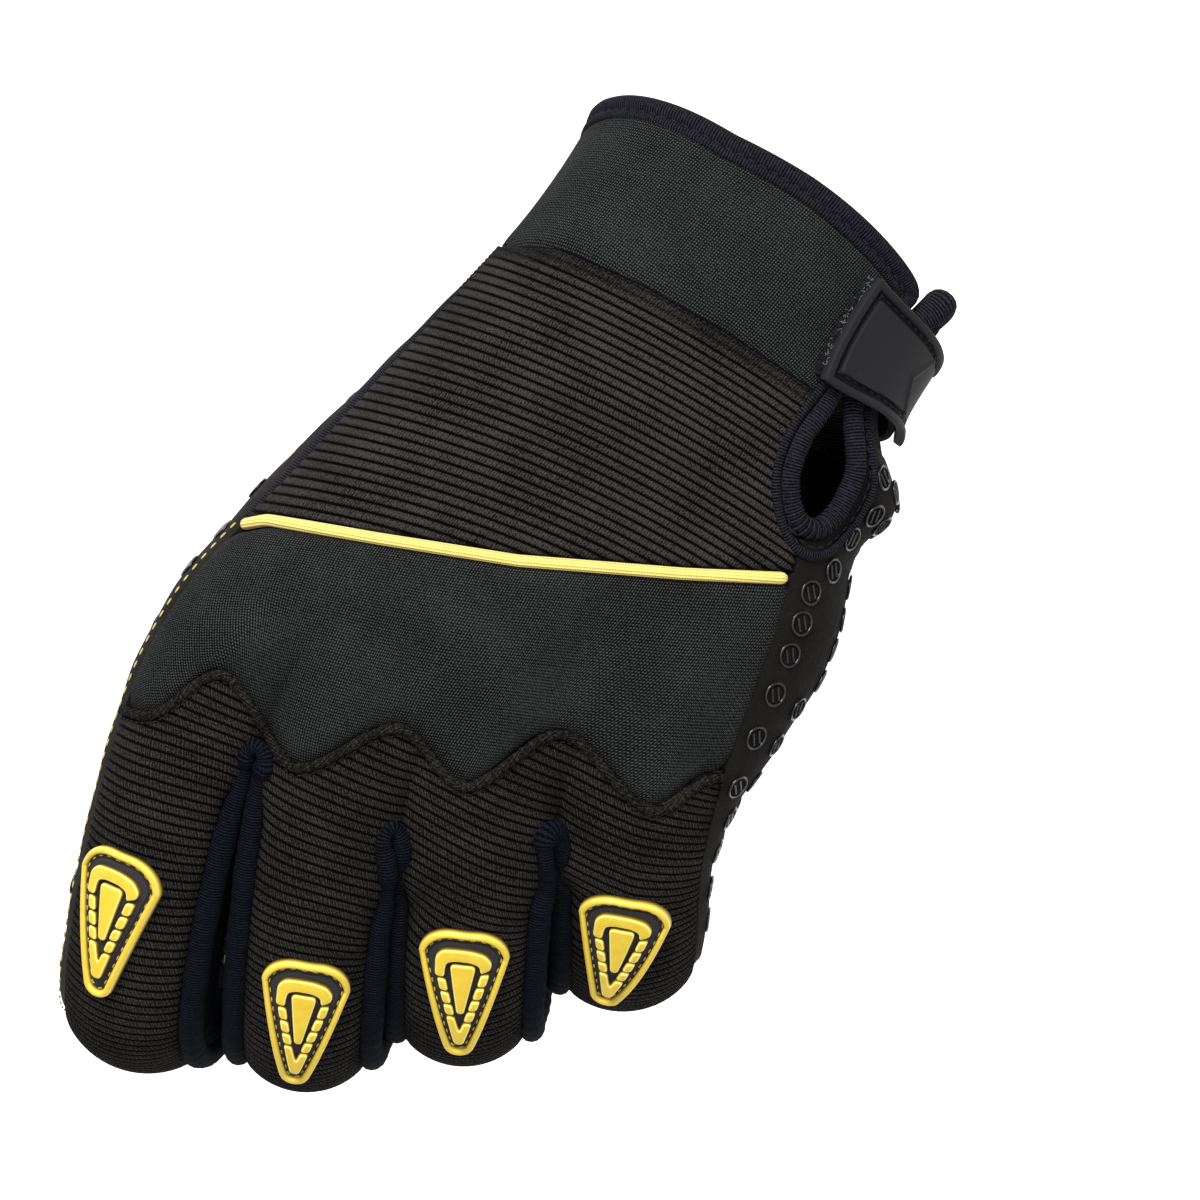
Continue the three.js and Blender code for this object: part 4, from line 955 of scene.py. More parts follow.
ROLL_RADIUS = 1.38
FORK_RISE = ((0.016, 0.0), (0.11, 0.07), (0.105, 0.04))  # how far an arch reaches up the back, and aside
# The fourchettes take a darker copy of the navy knit: painted shade for the slots between the fingers.
shaded_navy = navy_look("deep_navy_knit", ink(1, 1, 2), ink(22, 27, 38))


def fork_roll(boundary):
    """Along the roll beside one finger to the fork, over its arch and back beside the next finger."""
    fork = FORKS[boundary]
    stations = fork + 0.02 + (FINGER_END - 0.25 - fork) * np.linspace(0, 1, 200) ** 1.3
    sides = []
    for finger, sign in ((boundary, 1), (boundary + 1, -1)):
        edge = np.interp(stations, EDGE_STATIONS, INNER_EDGE) + 7
        point, out = finger_point(finger, sign * edge, stations, 0.9)
        sides.append((point + out * 0.3, out))
    middle, half = (sides[0][0] + sides[1][0]) / 2, (sides[0][0] - sides[1][0]) / 2
    apart = np.linalg.norm(half, axis=1, keepdims=True)
    steady = unit(np.where(apart > 0.6, half, half[apart[:, 0] > 0.6][:1]))
    near = np.exp(-(stations - fork)[:, None] / 0.11)
    half = steady * np.maximum(apart, ROLL_RADIUS + 0.08 + 0.35 * near)
    ups = unit(sides[0][1] + sides[1][1])
    up, aside = FORK_RISE[boundary]
    share = np.linspace(1, 0.06, 18)
    beside = [over_hand(boundary + 1 - aside * share**2 + step, fork - up * share) for step in (-0.09, 0.09)]
    point, out = (beside[0][0] + beside[1][0]) / 2, unit(beside[0][1] + beside[1][1])
    middle = np.concatenate([point + out * 0.5, middle + ups * (0.45 + 1.0 * near)])
    ups = np.concatenate([out, ups])
    half = np.concatenate([half[:1] * (1 + 0.12 * np.sin(np.pi * share) ** 2)[:, None], half])
    outs = [np.concatenate([out, side[1]]) for side in sides]
    ahead = unit(middle[0] - middle[6])
    reach = np.linalg.norm(half[0])
    turn = np.linspace(0, np.pi, 26)[1:-1, None]
    arch = middle[0] + unit(half[0]) * np.cos(turn) * reach + ahead * np.sin(turn) * reach
    path = np.concatenate([(middle + half)[::-1], arch, middle - half])
    ups = np.concatenate([outs[0][::-1], np.repeat(ups[:1], len(arch), 0), outs[1]])
    path, ups = resampled(rounded(path, 10), 0.42, rounded(ups, 30))
    sides = np.array_split(path, 2)
    pairs = (sides, sides[::-1])
    gap = np.concatenate([np.linalg.norm(a[:, None] - b[None], axis=-1).min(1) for a, b in pairs]) / 2
    return path, ups, np.clip((gap + 0.08) / ROLL_RADIUS, 1, 1.6)


for boundary in range(3):
    fork = FORKS[boundary]
    runs = fork + (FINGER_END - fork) * np.linspace(0, 1, 190) ** 1.15
    share = np.linspace(0, 1, 30)[None]
    sides = []
    for finger, sign, stations in ((boundary, 1, runs[::-1]), (boundary + 1, -1, runs[1:])):
        edge = np.interp(stations, EDGE_STATIONS, INNER_EDGE)[:, None]
        sides.append(finger_point(finger, sign * lerp(180 - edge, edge, share), stations[:, None], 1))
    made = Patch(*(np.concatenate([side[k] for side in sides]) for k in (0, 1)))
    roll = np.sqrt(np.clip(1 - ((made.from_right - 1.5) / 1.5) ** 2, 0, 1))
    plain = smooth((made.from_right - 3) / 1.5)
    made.relief = 0.12 * np.sin(2 * np.pi * made.along / 0.85) * plain - 0.4 * roll
    made.relief -= 0.4 * eased(made.across, 0.7)
    name = f"{FINGERS[boundary]}_{FINGERS[boundary + 1]}"
    panel = sewn(f"fourchette_panel_{name}", [made], CLOTH_WALL["knit"])
    path, ups, width = fork_roll(boundary)
    gathers = 1 + 0.03 * np.sin(np.arange(len(path)) * 0.9) + 0.03 * np.sin(np.arange(len(path)) * 0.23)
    both_rolls = swept(f"fourchette_roll_{name}", path, ups, oval(ROLL_RADIUS, 1.25, 14),
                       size=gathers * width)
    fourchette = joined(f"fourchette_knit_{name}", [panel, both_rolls])
    finished(fourchette, shaded_navy, "navy_knit", f"fourchette_{name}")


# Gusset: a narrow strip of the navy knit, sewn in between the back's cloth and the palm on the thumb's side,
# from the cuff to the piping.

start, end = float(seam_station("cuff", 0)[0]), float(seam_station("piping", 0, -1.0)[0])
stations = np.linspace(start, end, 150)[:, None]
share = np.linspace(0, 1, 12)[None]
low, high = (edge_angle(0, False, stations, palm) for palm in (True, False))
gusset_patch = Patch(*ring_point(0, -lerp(low, high, share), stations))
middle = np.sin(np.pi * share) ** 0.7 * np.ones_like(gusset_patch.along)
gusset_patch.relief = 0.5 * middle - 0.25 + 0.08 * np.sin(2 * np.pi * gusset_patch.along / 0.9)
gusset = sewn("gusset_knit", [gusset_patch], CLOTH_WALL["knit"])
finished(gusset, navy, "navy_knit", "thumb_gusset")


# Thumb: two halves, ribbed cloth behind and suede in front, set into a hole of the palm and curled under the
# fingers. The photo hides it, so its form is a guess.

THUMB_ROWS = np.array([(-42, -37, 5, 9), (-56, -46, -14, 13), (-68, -56, -36, 13), (-76, -72, -54, 11.6),
                       (-79, -94, -64, 10.2)], float)  # x, y, z, radius
THUMB_FRONT = np.array([0.15, -0.5, 0.85])


def thumb_point(angle, station):
    """Round the thumb from its front, and along it from the palm (0) over the tip (4) to its pole (5)."""
    angle, station = np.broadcast_arrays(np.radians(angle), np.asarray(station, float))
    t = np.minimum(station, 4)
    at = lambda place: spline_weights(place, 5) @ THUMB_ROWS
    along = unit((at(np.minimum(t + 0.02, 4)) - at(np.maximum(t - 0.02, 0)))[..., :3])
    front = unit(THUMB_FRONT - along * (along @ THUMB_FRONT)[..., None])
    turn = (np.maximum(station - 4, 0) * np.pi / 2)[..., None]
    out = (front * np.cos(angle)[..., None]
           + np.cross(front, along) * np.sin(angle)[..., None]) * np.cos(turn)
    out = out + along * np.sin(turn)
    return at(t)[..., :3] + out * at(t)[..., 3:], out


def palm_rows(finger, count):
    """Columns and rows of one finger's strip of the palm, from the cuff seam to the fingertip."""
    u = np.linspace(finger, finger + 1, count)
    start, fork = palm_start(u), fork_of(u)
    trunk = lerp(start[None], fork[None], np.linspace(0, 1, 84)[:-1, None])
    ray = lerp(fork[None], FINGER_END, np.linspace(0, 1, 80)[:, None])
    tip = np.repeat(np.linspace(FINGER_END, POLE, 40)[1:, None], count, 1)
    return u, np.concatenate([trunk, ray, tip])


def palm_patch(finger):
    u, station = palm_rows(finger, 25)
    made = Patch(*hand_point(finger, u[None], station, True), turned=True)
    made.station = station
    return made


palm_patches = [palm_patch(finger) for finger in range(4)]
coarse = [Patch(p.points[::3, ::3], p.outs[::3, ::3], turned=True) for p in palm_patches]
palm_faces, _, _ = faces_of(coarse)
palm_tree = BVHTree.FromPolygons(np.concatenate([p.points.reshape(-1, 3) for p in coarse]).tolist(),
                                 palm_faces)


def clear_of_palm(gap):
    """Cuts a thumb panel off where it enters the palm, gap mm outside the palm's face."""
    def drop(points, outs):
        points, gone = points.copy(), np.zeros(len(points), bool)
        for k, point in enumerate(points):
            near, normal, _, _ = palm_tree.find_nearest(Vector(point), 30)
            if near is None:
                continue
            height = (Vector(point) - near).dot(normal)
            if height < gap:
                gone[k] = height < gap - 1.2
                points[k] = point + np.array(normal) * (gap - height)
        return points, gone
    return drop


suede = Finish("palm_suede", Roughness=0.95, Sheen_Weight=0.03, Specular_IOR_Level=0.08)
nap = suede.noise(0.35, 4, 0.65)
rubbed = suede.noise(7, 4, 0.6)
suede.feed("Base Color",
           suede.blend((nap * 0.6 + rubbed * 0.55).held(0.2, 1.0), ink(7, 6, 6), ink(32, 29, 27)))
suede.bump(nap + rubbed * 0.5, 0.14)

for name, first, last, wall, finish, slot, node in (
        ("thumb_back_cloth", 90, 270, "ribbed", fine_ribbed, "ribbed_cloth", "thumb_back"),
        ("thumb_front_suede", -90, 90, "suede", suede, "suede", "thumb_front")):
    stations = np.concatenate([np.linspace(0, 4, 260), np.linspace(4, 5, 44)[1:]])[:, None]
    made = Patch(*thumb_point(np.linspace(first, last, 41)[None], stations))
    edge = eased(np.minimum(made.across, made.from_right), 0.9)
    if node == "thumb_back":
        ribs = rib_profile(made.along[:, 20:21] / FINGER_PITCH)
        # Tone: the ribs' height, lowered as painted shade along the seamed edges.
        made.relief, made.tone = 0.3 * (ribs - 0.55) - 0.5 * edge, ribs * (1 - 0.5 * edge)
        made.v = made.along[:, 20:21] + made.u * 0
    else:
        made.relief = -0.5 * edge + 0.12 * np.sin(made.along / 3.1) * np.sin(made.across / 4.3)
    panel = sewn(name, [made], CLOTH_WALL[wall], drop=clear_of_palm(-0.5))
    finished(panel, finish, slot, node)


# Palm and finger fronts: one piece of brown-black synthetic suede, with a hole that the thumb is set in. Its
# sides are sewn to the back's cloth, the gusset and the fourchettes.


def clear_of_thumb(points, outs):
    stations = np.linspace(0, 4, 81)
    line = spline_weights(stations, 5) @ THUMB_ROWS
    points, gone = points.copy(), np.zeros(len(points), bool)
    far = np.linalg.norm(points[:, None] - line[None, :, :3], axis=-1)
    nearest = far.argmin(1)
    radius = line[nearest, 3] + 0.1
    distance = far[np.arange(len(points)), nearest]
    inside = distance < radius
    gone[inside & (distance < radius - 1.3)] = True
    away = unit(points - line[nearest, :3])
    points[inside] = line[nearest, :3][inside] + away[inside] * radius[inside, None]
    return points, gone


for finger, made in enumerate(palm_patches):
    left = np.maximum(open_edge(finger, made.station, False), finger == 0)
    right = np.maximum(open_edge(finger, made.station, True), finger == 3)
    sides = eased(made.across, 1.0) * left + eased(made.from_right, 1.0) * right
    dents = np.sin(made.points @ np.array([0.31, 0.11, 0.05]))
    dents = dents * np.sin(made.points @ np.array([-0.07, 0.23, 0.19]))
    made.relief = 0.25 * dents * (1 - sides) - 0.5 * sides
palm = sewn("palm_suede_panel", palm_patches, CLOTH_WALL["suede"], drop=clear_of_thumb)
finished(palm, suede, "suede", "palm_panel")


# Grip print: glossy black silicone rings with a double bar, staggered over the palm and the fingers' fronts.
# They are printed on the suede, and left out round the thumb's hole and the vent.

silicone = Finish("silicone_print", Base_Color=ink(9, 9, 10), Specular_IOR_Level=0.5, Coat_Weight=0.3)
silicone.feed("Roughness", silicone.noise(1.5, 2) * 0.25 + 0.15)


def ring_tree():
    """A slotted ring on every point, lying square to its 'out' and turned to its 'along'."""
    tree = bpy.data.node_groups.new("slotted_rings", "GeometryNodeTree")
    tree.interface.new_socket("Places", in_out="INPUT", socket_type="NodeSocketGeometry")
    for name in ("Radius", "Line"):
        tree.interface.new_socket(name, in_out="INPUT", socket_type="NodeSocketFloat")
    tree.interface.new_socket("Rubber", in_out="INPUT", socket_type="NodeSocketMaterial")
    tree.interface.new_socket("Rings", in_out="OUTPUT", socket_type="NodeSocketGeometry")

    def add(kind, links=(), **settings):
        made = tree.nodes.new(kind)
        for key, value in settings.items():
            setattr(made, key, value)
        for key, source in dict(links).items():
            if isinstance(source, bpy.types.NodeSocket):
                tree.links.new(source, made.inputs[key])
            else:
                made.inputs[key].default_value = source
        return made

    given = add("NodeGroupInput")
    circle = add("GeometryNodeCurvePrimitiveCircle", {"Resolution": 18, "Radius": given.outputs["Radius"]})
    tube = add("GeometryNodeCurvePrimitiveCircle", {"Resolution": 5, "Radius": given.outputs["Line"]})
    reach = add("ShaderNodeMath", {0: given.outputs["Radius"], 1: 0.62}, operation="MULTIPLY")
    back_reach = add("ShaderNodeMath", {0: reach.outputs[0], 1: -1.0}, operation="MULTIPLY")
    shapes = [circle.outputs[0]]
    for side in (-0.3, 0.3):
        aside = add("ShaderNodeMath", {0: given.outputs["Radius"], 1: side}, operation="MULTIPLY")
        ends = [add("ShaderNodeCombineXYZ", {0: x.outputs[0], 1: aside.outputs[0]}).outputs[0]
                for x in (back_reach, reach)]
        shapes.append(add("GeometryNodeCurvePrimitiveLine", {"Start": ends[0], "End": ends[1]}).outputs[0])
    both = add("GeometryNodeJoinGeometry")
    for shape in shapes:
        tree.links.new(shape, both.inputs[0])
    solid = add("GeometryNodeCurveToMesh",
                {"Curve": both.outputs[0], "Profile Curve": tube.outputs[0], "Fill Caps": True})
    out = add("GeometryNodeInputNamedAttribute", {"Name": "out"}, data_type="FLOAT_VECTOR")
    along = add("GeometryNodeInputNamedAttribute", {"Name": "along"}, data_type="FLOAT_VECTOR")
    turned = add("FunctionNodeAxesToRotation",
                 {"Primary Axis": out.outputs[0], "Secondary Axis": along.outputs[0]},
                 primary_axis="Z", secondary_axis="X")
    rings = add("GeometryNodeInstanceOnPoints",
                {"Points": given.outputs["Places"], "Instance": solid.outputs[0],
                 "Rotation": turned.outputs[0]})
    real = add("GeometryNodeRealizeInstances", {0: rings.outputs[0]})
    soft = add("GeometryNodeSetShadeSmooth", {0: real.outputs[0]})
    dressed = add("GeometryNodeSetMaterial",
                  {"Geometry": soft.outputs[0], "Material": given.outputs["Rubber"]})
    tree.links.new(dressed.outputs[0], add("NodeGroupOutput").inputs[0])
    return tree


RING_PITCH, RING_RADIUS = 6.4, 1.95
INDEX_MARGIN, LITTLE_MARGIN, FINGER_MARGIN, SHARED_MARGIN = 7, 5.5, 4, 0.3  # from a strip's edge, in mm
places, normals, alongs = [], [], []
hole = np.concatenate([slit_point(side, np.linspace(0.8, KEYHOLE_END, 240), 0, 0)[0] for side in (-1, 1)])
thumb_line = spline_weights(np.linspace(0, 4, 61), 5) @ THUMB_ROWS
for finger, made in enumerate(palm_patches):
    middle = made.points.shape[1] // 2
    ruler = made.along[:, middle]
    square = unit(np.cross(np.gradient(made.points, axis=0), np.gradient(made.points, axis=1)))
    square *= np.sign((square * made.outs).sum(-1, keepdims=True))
    for row, length in enumerate(np.arange(3.5, ruler[-1] - 6, RING_PITCH)):
        r = int(np.searchsorted(ruler, length))
        widths, whole = made.across[r], made.across[r, -1]
        free = made.station[r, 0] > FORKS.min()
        first = whole / 2 - 5.6 if finger == 3 else row % 3
        margin = LITTLE_MARGIN if finger == 3 else FINGER_MARGIN if free else SHARED_MARGIN
        for a in first - np.arange(-3, 7) * RING_PITCH:
            if abs(a) > whole / 2 - margin or (finger == 0 and a < INDEX_MARGIN - whole / 2):
                continue
            c = int(np.searchsorted(widths, whole / 2 + a))
            point, out = made.points[r, c], square[r, c]
            if (np.linalg.norm(thumb_line[:, :3] - point, axis=1) < thumb_line[:, 3] + 3).any():
                continue
            if np.linalg.norm(hole - point, axis=1).min() < 3.9:
                continue
            near = [np.linalg.norm(point - other) < RING_PITCH * 0.75 for other in places]
            if not any(near):
                places.append(point + out * (made.relief[r, c] + 0.12))
                normals.append(out)
                alongs.append(unit(made.points[min(r + 1, len(made.points) - 1), c] - made.points[r - 1, c]))
mesh = bpy.data.meshes.new("ring_places")
mesh.from_pydata((np.array(places) / 1000).tolist(), [], [])
leaning = unit(np.array(alongs) + 0.6 * np.cross(normals, alongs))
for name, values in (("out", normals), ("along", leaning)):
    field = mesh.attributes.new(name, "FLOAT_VECTOR", "POINT")
    field.data.foreach_set("vector", np.asarray(values, np.float32).ravel())
source = bpy.data.objects.new("ring_places", mesh)
bpy.context.scene.collection.objects.link(source)
print_rings = grown("grip_print", source, ring_tree(), Radius=RING_RADIUS / 1000, Line=0.00024,
                    Rubber=silicone.material)
finished(print_rings, silicone, "suede")


# Index side seam: a running stitch of bright yellow thread along the suede's edge, below the fold of the
# ribbed cloth.

stations = np.linspace(PIPING_AT_INDEX + 0.02, 4.35, 260)
radius = ray_values(0, stations)[..., 3] + 1
seam_angle = -(edge_angle(0, False, stations, True) + np.degrees(1.7 / radius))
point, out = ring_point(0, seam_angle, stations)
yellow_thread = Finish("yellow_thread", Roughness=0.7, Specular_IOR_Level=0.15)
twist = yellow_thread.noise(0.3, 2)
yellow_thread.feed("Base Color", yellow_thread.blend(twist, ink(176, 158, 74), ink(226, 211, 128)))
yellow_thread.bump(twist, 0.06)
stitched("index_side_stitches", [point + out * 0.12], 2.35, 1.35, 0.32, yellow_thread, "suede")


# Keyhole binding: a thick roll of the navy knit round the vent at the slit's foot, gathered at the bottom,
# with a thin stitched fold outside it.


def keyhole_line(margin, lift, sunk=0.0):
    straight = np.linspace(0.8, 1.3, 50)
    depth = KEYHOLE_END - KEYHOLE_WIDEST - margin / STATION_LENGTH
    half = float(slit_angle(np.array(KEYHOLE_WIDEST))) - math.degrees(margin / 21)
    turn = np.pi * (1 - np.linspace(0, 1, 60))
    station = KEYHOLE_WIDEST + np.sin(turn) * depth
    middle = np.interp(station, EDGE_STATIONS, LITTLE_EDGE)
    point, out = ring_point(3, middle + np.cos(turn) * half, station)
    under = (lift - sunk * (1 - smooth((straight - 0.86) / 0.24)))[:, None]
    parts = [slit_point(-1, straight, margin, under), (point + out * lift, out),
             slit_point(1, straight[::-1], margin, under[::-1])]
    path, ups = (np.concatenate([p[k] for p in parts]) for k in (0, 1))
    return rounded(path, 14), rounded(ups, 14)


line = keyhole_line(1.5, -0.6, 0.7)
path, ups = resampled(line[0], 0.22, line[1])
foot = np.exp(-(((np.linspace(-1, 1, len(path))) / 0.2) ** 2))
places = np.arange(len(path))
gathers = 1 + (0.04 + 0.05 * foot) * np.sin(places * 2 * np.pi / 4.2) + 0.02 * np.sin(places * 0.37)
roll = swept("keyhole_roll", path, ups, oval(1.75, 1.75, 18), size=gathers)
line = keyhole_line(-1.7, 0.05)
path, ups = resampled(line[0], 0.4, line[1])
outer_fold = swept("keyhole_fold", path, ups, oval(0.85, 0.6, 12))
finished(joined("keyhole_binding_knit", [roll, outer_fold]), navy, "navy_knit", "keyhole_binding")
stitched("keyhole_stitches", [keyhole_line(-0.5, 0.3)[0]], 2.0, 1.3, 0.3, dark_thread, "navy_knit")


# Closing strap: a black hook-and-loop band wrapped over the slit, with a moulded rubber tab sewn on to pull
# it by. Pale lint has caught at the band's end.


def strap_point(angle, across, height):
    """On the strap, which runs up to the rim from its tab and stands off the wrist at the hand's side."""
    angle, across = np.broadcast_arrays(np.asarray(angle, float), np.asarray(across, float))
    station = lerp(0.67, 0.5, smooth((angle - 42) / 52)) + across / STATION_LENGTH
    stand = 1.3 * smooth((angle - 55) / 35) * smooth((140 - angle) / 50)
    point, out = ring_point(3, angle, station)
    return point + out * (0.85 + stand + height)[..., None], out


hook = Finish("hook_fabric", Roughness=0.95, Specular_IOR_Level=0.08)
fuzz = hook.noise(0.35, 3)
hook.feed("Base Color", hook.blend(fuzz.held(0.3, 0.75), ink(5, 5, 7), ink(36, 36, 41)))
hook.bump(fuzz, 0.35)
band_patch = Patch(*strap_point(np.linspace(42.2, 168, 100)[None], np.linspace(-8.8, 8.8, 36)[:, None], 1.4))
edge = np.minimum(np.minimum(band_patch.along, band_patch.from_end),
                  np.minimum(band_patch.across, band_patch.from_right))
band_patch.relief = -0.35 * eased(edge, 0.5)
band = sewn("strap_band", [band_patch], 1.4, inset=0)
finished(band, hook, "navy_knit", "strap")

tab_rubber = Finish("tab_rubber", Specular_IOR_Level=0.16)
grain = tab_rubber.noise(0.25, 3)
specks = tab_rubber.noise(0.6, 1).held(0.8, 0.84)
# Tone low, in the sunk channel inside the tab's bar and on the step down past the chevron, turns the rubber
# near black: painted shade in its recesses.
moulded = tab_rubber.blend(tab_rubber.tone().held(0.1, 0.9), ink(5, 5, 6),
                           tab_rubber.blend(grain, ink(20, 20, 22), ink(33, 33, 36)))
tab_rubber.feed("Base Color", tab_rubber.blend(specks * 0.5, moulded, ink(165, 165, 166)))
tab_rubber.feed("Roughness", 0.55 + grain * 0.2)
tab_rubber.bump(grain, 0.06)
tab_patch = Patch(*strap_point(np.linspace(42, 98, 130)[None], np.linspace(-9.3, 9.3, 76)[:, None], 3.3))
x, y = tab_patch.across, tab_patch.along
edge = np.minimum(np.minimum(y, tab_patch.from_end), x)
bar = np.clip(1 - ((edge - 0.7) / 0.85) ** 4, 0, 1) ** 0.5
plate = smooth((edge - 2.5) / 0.3)
whole = tab_patch.across[:, -1:]
chevron = np.abs(y - tab_patch.along[-1:] / 2) * 0.62 + (whole - 13.5)
ridge = np.exp(-(((x - chevron) / 0.55) ** 2)) * plate
beyond = smooth((x - chevron - 0.7) / 0.8) * plate
tab_patch.relief = -0.95 + 0.95 * np.maximum(bar, plate * 0.85) + 0.35 * ridge - 0.3 * beyond
# Tone: 0 in the sunk channel between bar and plate and lowered past the chevron, for painted shade in the
# moulding.
tab_patch.tone = np.maximum(bar, plate) * (1 - 0.35 * beyond)
tab = sewn("tab_moulding", [tab_patch], 1.6, inset=0)
finished(tab, tab_rubber, "dark_rubber", "strap_tab")
long_sides = [strap_point(np.linspace(47.2, 96.5, 90), a, 2.6)[0] for a in (-7.2, 7.2)]
short_side = strap_point(47.0, np.linspace(-7, 7, 40), 2.6)[0]
stitched("tab_stitches", [*long_sides, short_side], 1.9, 1.2, 0.3, dark_thread, "dark_rubber")
lint = Finish("lint", Roughness=0.9, Specular_IOR_Level=0.1)
lint.feed("Base Color", lint.blend(lint.noise(0.3, 2), ink(80, 80, 82), ink(140, 140, 142)))
chance, hairs = np.random.default_rng(5), []
for number in range(56):
    across = chance.uniform(-9.1, 9.1)
    start = strap_point(42 - chance.uniform(0.1, 0.7), across, chance.uniform(0.9, 2.2))[0]
    swing = np.cumsum(chance.normal(0, 0.07, (6, 3)) + chance.normal(0, 0.05, 3), 0)
    hairs.append(swept(f"hair_{number}", start + swing, np.tile([0.3, 0.2, 0.9], (6, 1)),
                       oval(0.05, 0.05, 4)))
finished(joined("tab_lint", hairs), lint, "navy_knit")


# Finger pads: moulded rubber badges sewn to the middle joints, each a dark field in a yellow rim, with a
# bracket, beads, a V and a wedge raised on it.

PADS = {  # finger, angle round it, station, lean in degrees, size
    "index": (0, -9, 3.67, 0, 1), "middle": (1, 0, 3.85, 4, 1), "ring": (2, -2, 3.8, 1, 1),
    "little": (3, -12, 3.76, 9, 0.97),
}
PAD_CORNERS = [  # places across and down the pad, radius, and the angles that the corner turns between
    (0, 10.9, 2.6, -70, 70), (1.65, -7.2, 6.35, 100, 180), (-1.65, -7.2, 6.35, 180, 260),
]


def pad_point(pad, a, b, height):
    finger, angle, start, lean, size = PADS[pad]
    a, b = np.broadcast_arrays(np.asarray(a, float), np.asarray(b, float))
    lean = math.radians(lean)
    across = (a * math.cos(lean) - b * math.sin(lean)) * size
    down = (b * math.cos(lean) + a * math.sin(lean)) * size
    lengths = BACK_LENGTHS[finger]
    station = np.interp(np.interp(start, TABLE, lengths) + down, lengths, TABLE)
    radius = ray_values(finger, station)[..., 4]
    point, out = ring_point(finger, angle + np.degrees(across / (radius + height)), station)
    return point + out * np.asarray(height)[..., None], out


def shield(inset):
    """The pad's outline drawn in by inset, as a loop of even steps."""
    loop = []
    for a, b, radius, start, end in PAD_CORNERS:
        turn = np.radians(np.linspace(start, end, 24))
        loop.append(np.stack([a + np.sin(turn) * (radius - inset), b + np.cos(turn) * (radius - inset)], 1))
    loop = np.concatenate(loop + [loop[0][:1]])
    return resampled(loop, 0.45)[0][:-1]


def inward(loop):
    """Directions into a closed outline from its points."""
    ahead = unit(np.roll(loop, -1, 0) - np.roll(loop, 1, 0))
    normal = np.stack([-ahead[:, 1], ahead[:, 0]], 1)
    area = np.sum(loop[:, 0] * np.roll(loop[:, 1], -1) - np.roll(loop[:, 0], -1) * loop[:, 1])
    return normal if area > 0 else -normal


def corner_cut(corners, radii, pitch=0.3):
    """A closed outline through corners, with each of them rounded."""
    corners = np.array(corners, float)
    loop = []
    for before, here, after, radius in zip(np.roll(corners, 1, 0), corners, np.roll(corners, -1, 0),
                                           np.broadcast_to(radii, len(corners))):
        reach = min(radius, np.linalg.norm(before - here) * 0.45, np.linalg.norm(after - here) * 0.45)
        a, b = here + unit(before - here) * reach, here + unit(after - here) * reach
        f = np.linspace(0, 1, 7)[:, None]
        loop.append((1 - f) ** 2 * a + 2 * f * (1 - f) * here + f**2 * b)
    loop = np.concatenate(loop)
    return resampled(np.vstack([loop, loop[:1]]), pitch)[0][:-1]


def facing_out(name, points, faces, tone, crease):
    """A closed mesh whose faces are turned outwards."""
    made = mesh_object(name, points, faces, tone=tone, crease=crease)
    mesh = bmesh.new()
    mesh.from_mesh(made.data)
    bmesh.ops.recalc_face_normals(mesh, faces=mesh.faces)
    mesh.to_mesh(made.data)
    mesh.free()
    return made


def cast(name, pad, loop, low, high, soft):
    """A shape raised on a pad between two heights, its upper edge rounded by soft mm."""
    steps = ((0, low), (0, high - soft), (0.12 * soft, high - 0.55 * soft),
             (0.45 * soft, high - 0.15 * soft), (soft, high))
    # Tones from foot to top: painted shade at the foot, a pale line at the upper bevel for painted highlight
    # and whitish wear, and the rubber's own yellow on top.
    into, count, tones = inward(loop), len(loop), (0, 0.3, 0.8, 1, 0.5)
    rows = [np.column_stack([loop + into * inset, np.full(count, float(height))]) for inset, height in steps]
    faces = []
    for r in range(len(steps) - 1):
        for c in range(count):
            d = (c + 1) % count
            faces.append([r * count + c, r * count + d, (r + 1) * count + d, (r + 1) * count + c])
    total = count * len(steps)
    for r in (0, len(steps) - 1):
        ring = rows[r][:, :2]
        span = [np.arange(ring[:, k].min() + 0.35, ring[:, k].max(), 0.6) for k in (0, 1)]
        grid = np.stack(np.meshgrid(*span), -1).reshape(-1, 2)
        gap = np.linalg.norm(grid[:, None] - ring[None], axis=-1).min(1)
        flat = np.vstack([ring, grid[gap > 0.3]])
        placed, _, kept, origin, _, _ = delaunay_2d_cdt([Vector(p) for p in flat], [], [list(range(count))],
                                                        1, 1e-5)
        number = []
        for place, sources in zip(placed, origin):
            own = [n for n in sources if n < count]
            if own:
                number.append(r * count + own[0])
            else:
                number.append(total)
                rows.append(np.array([[place[0], place[1], steps[r][1]]]))
                tones += (tones[r],)
                total += 1
        faces += [[number[k] for k in face] for face in kept]
    tone = np.concatenate([np.full(len(row), float(value)) for row, value in zip(rows, tones)])
    rows = np.concatenate(rows)
    return facing_out(name, pad_point(pad, rows[:, 0], rows[:, 1], rows[:, 2])[0], faces, tone, 62)


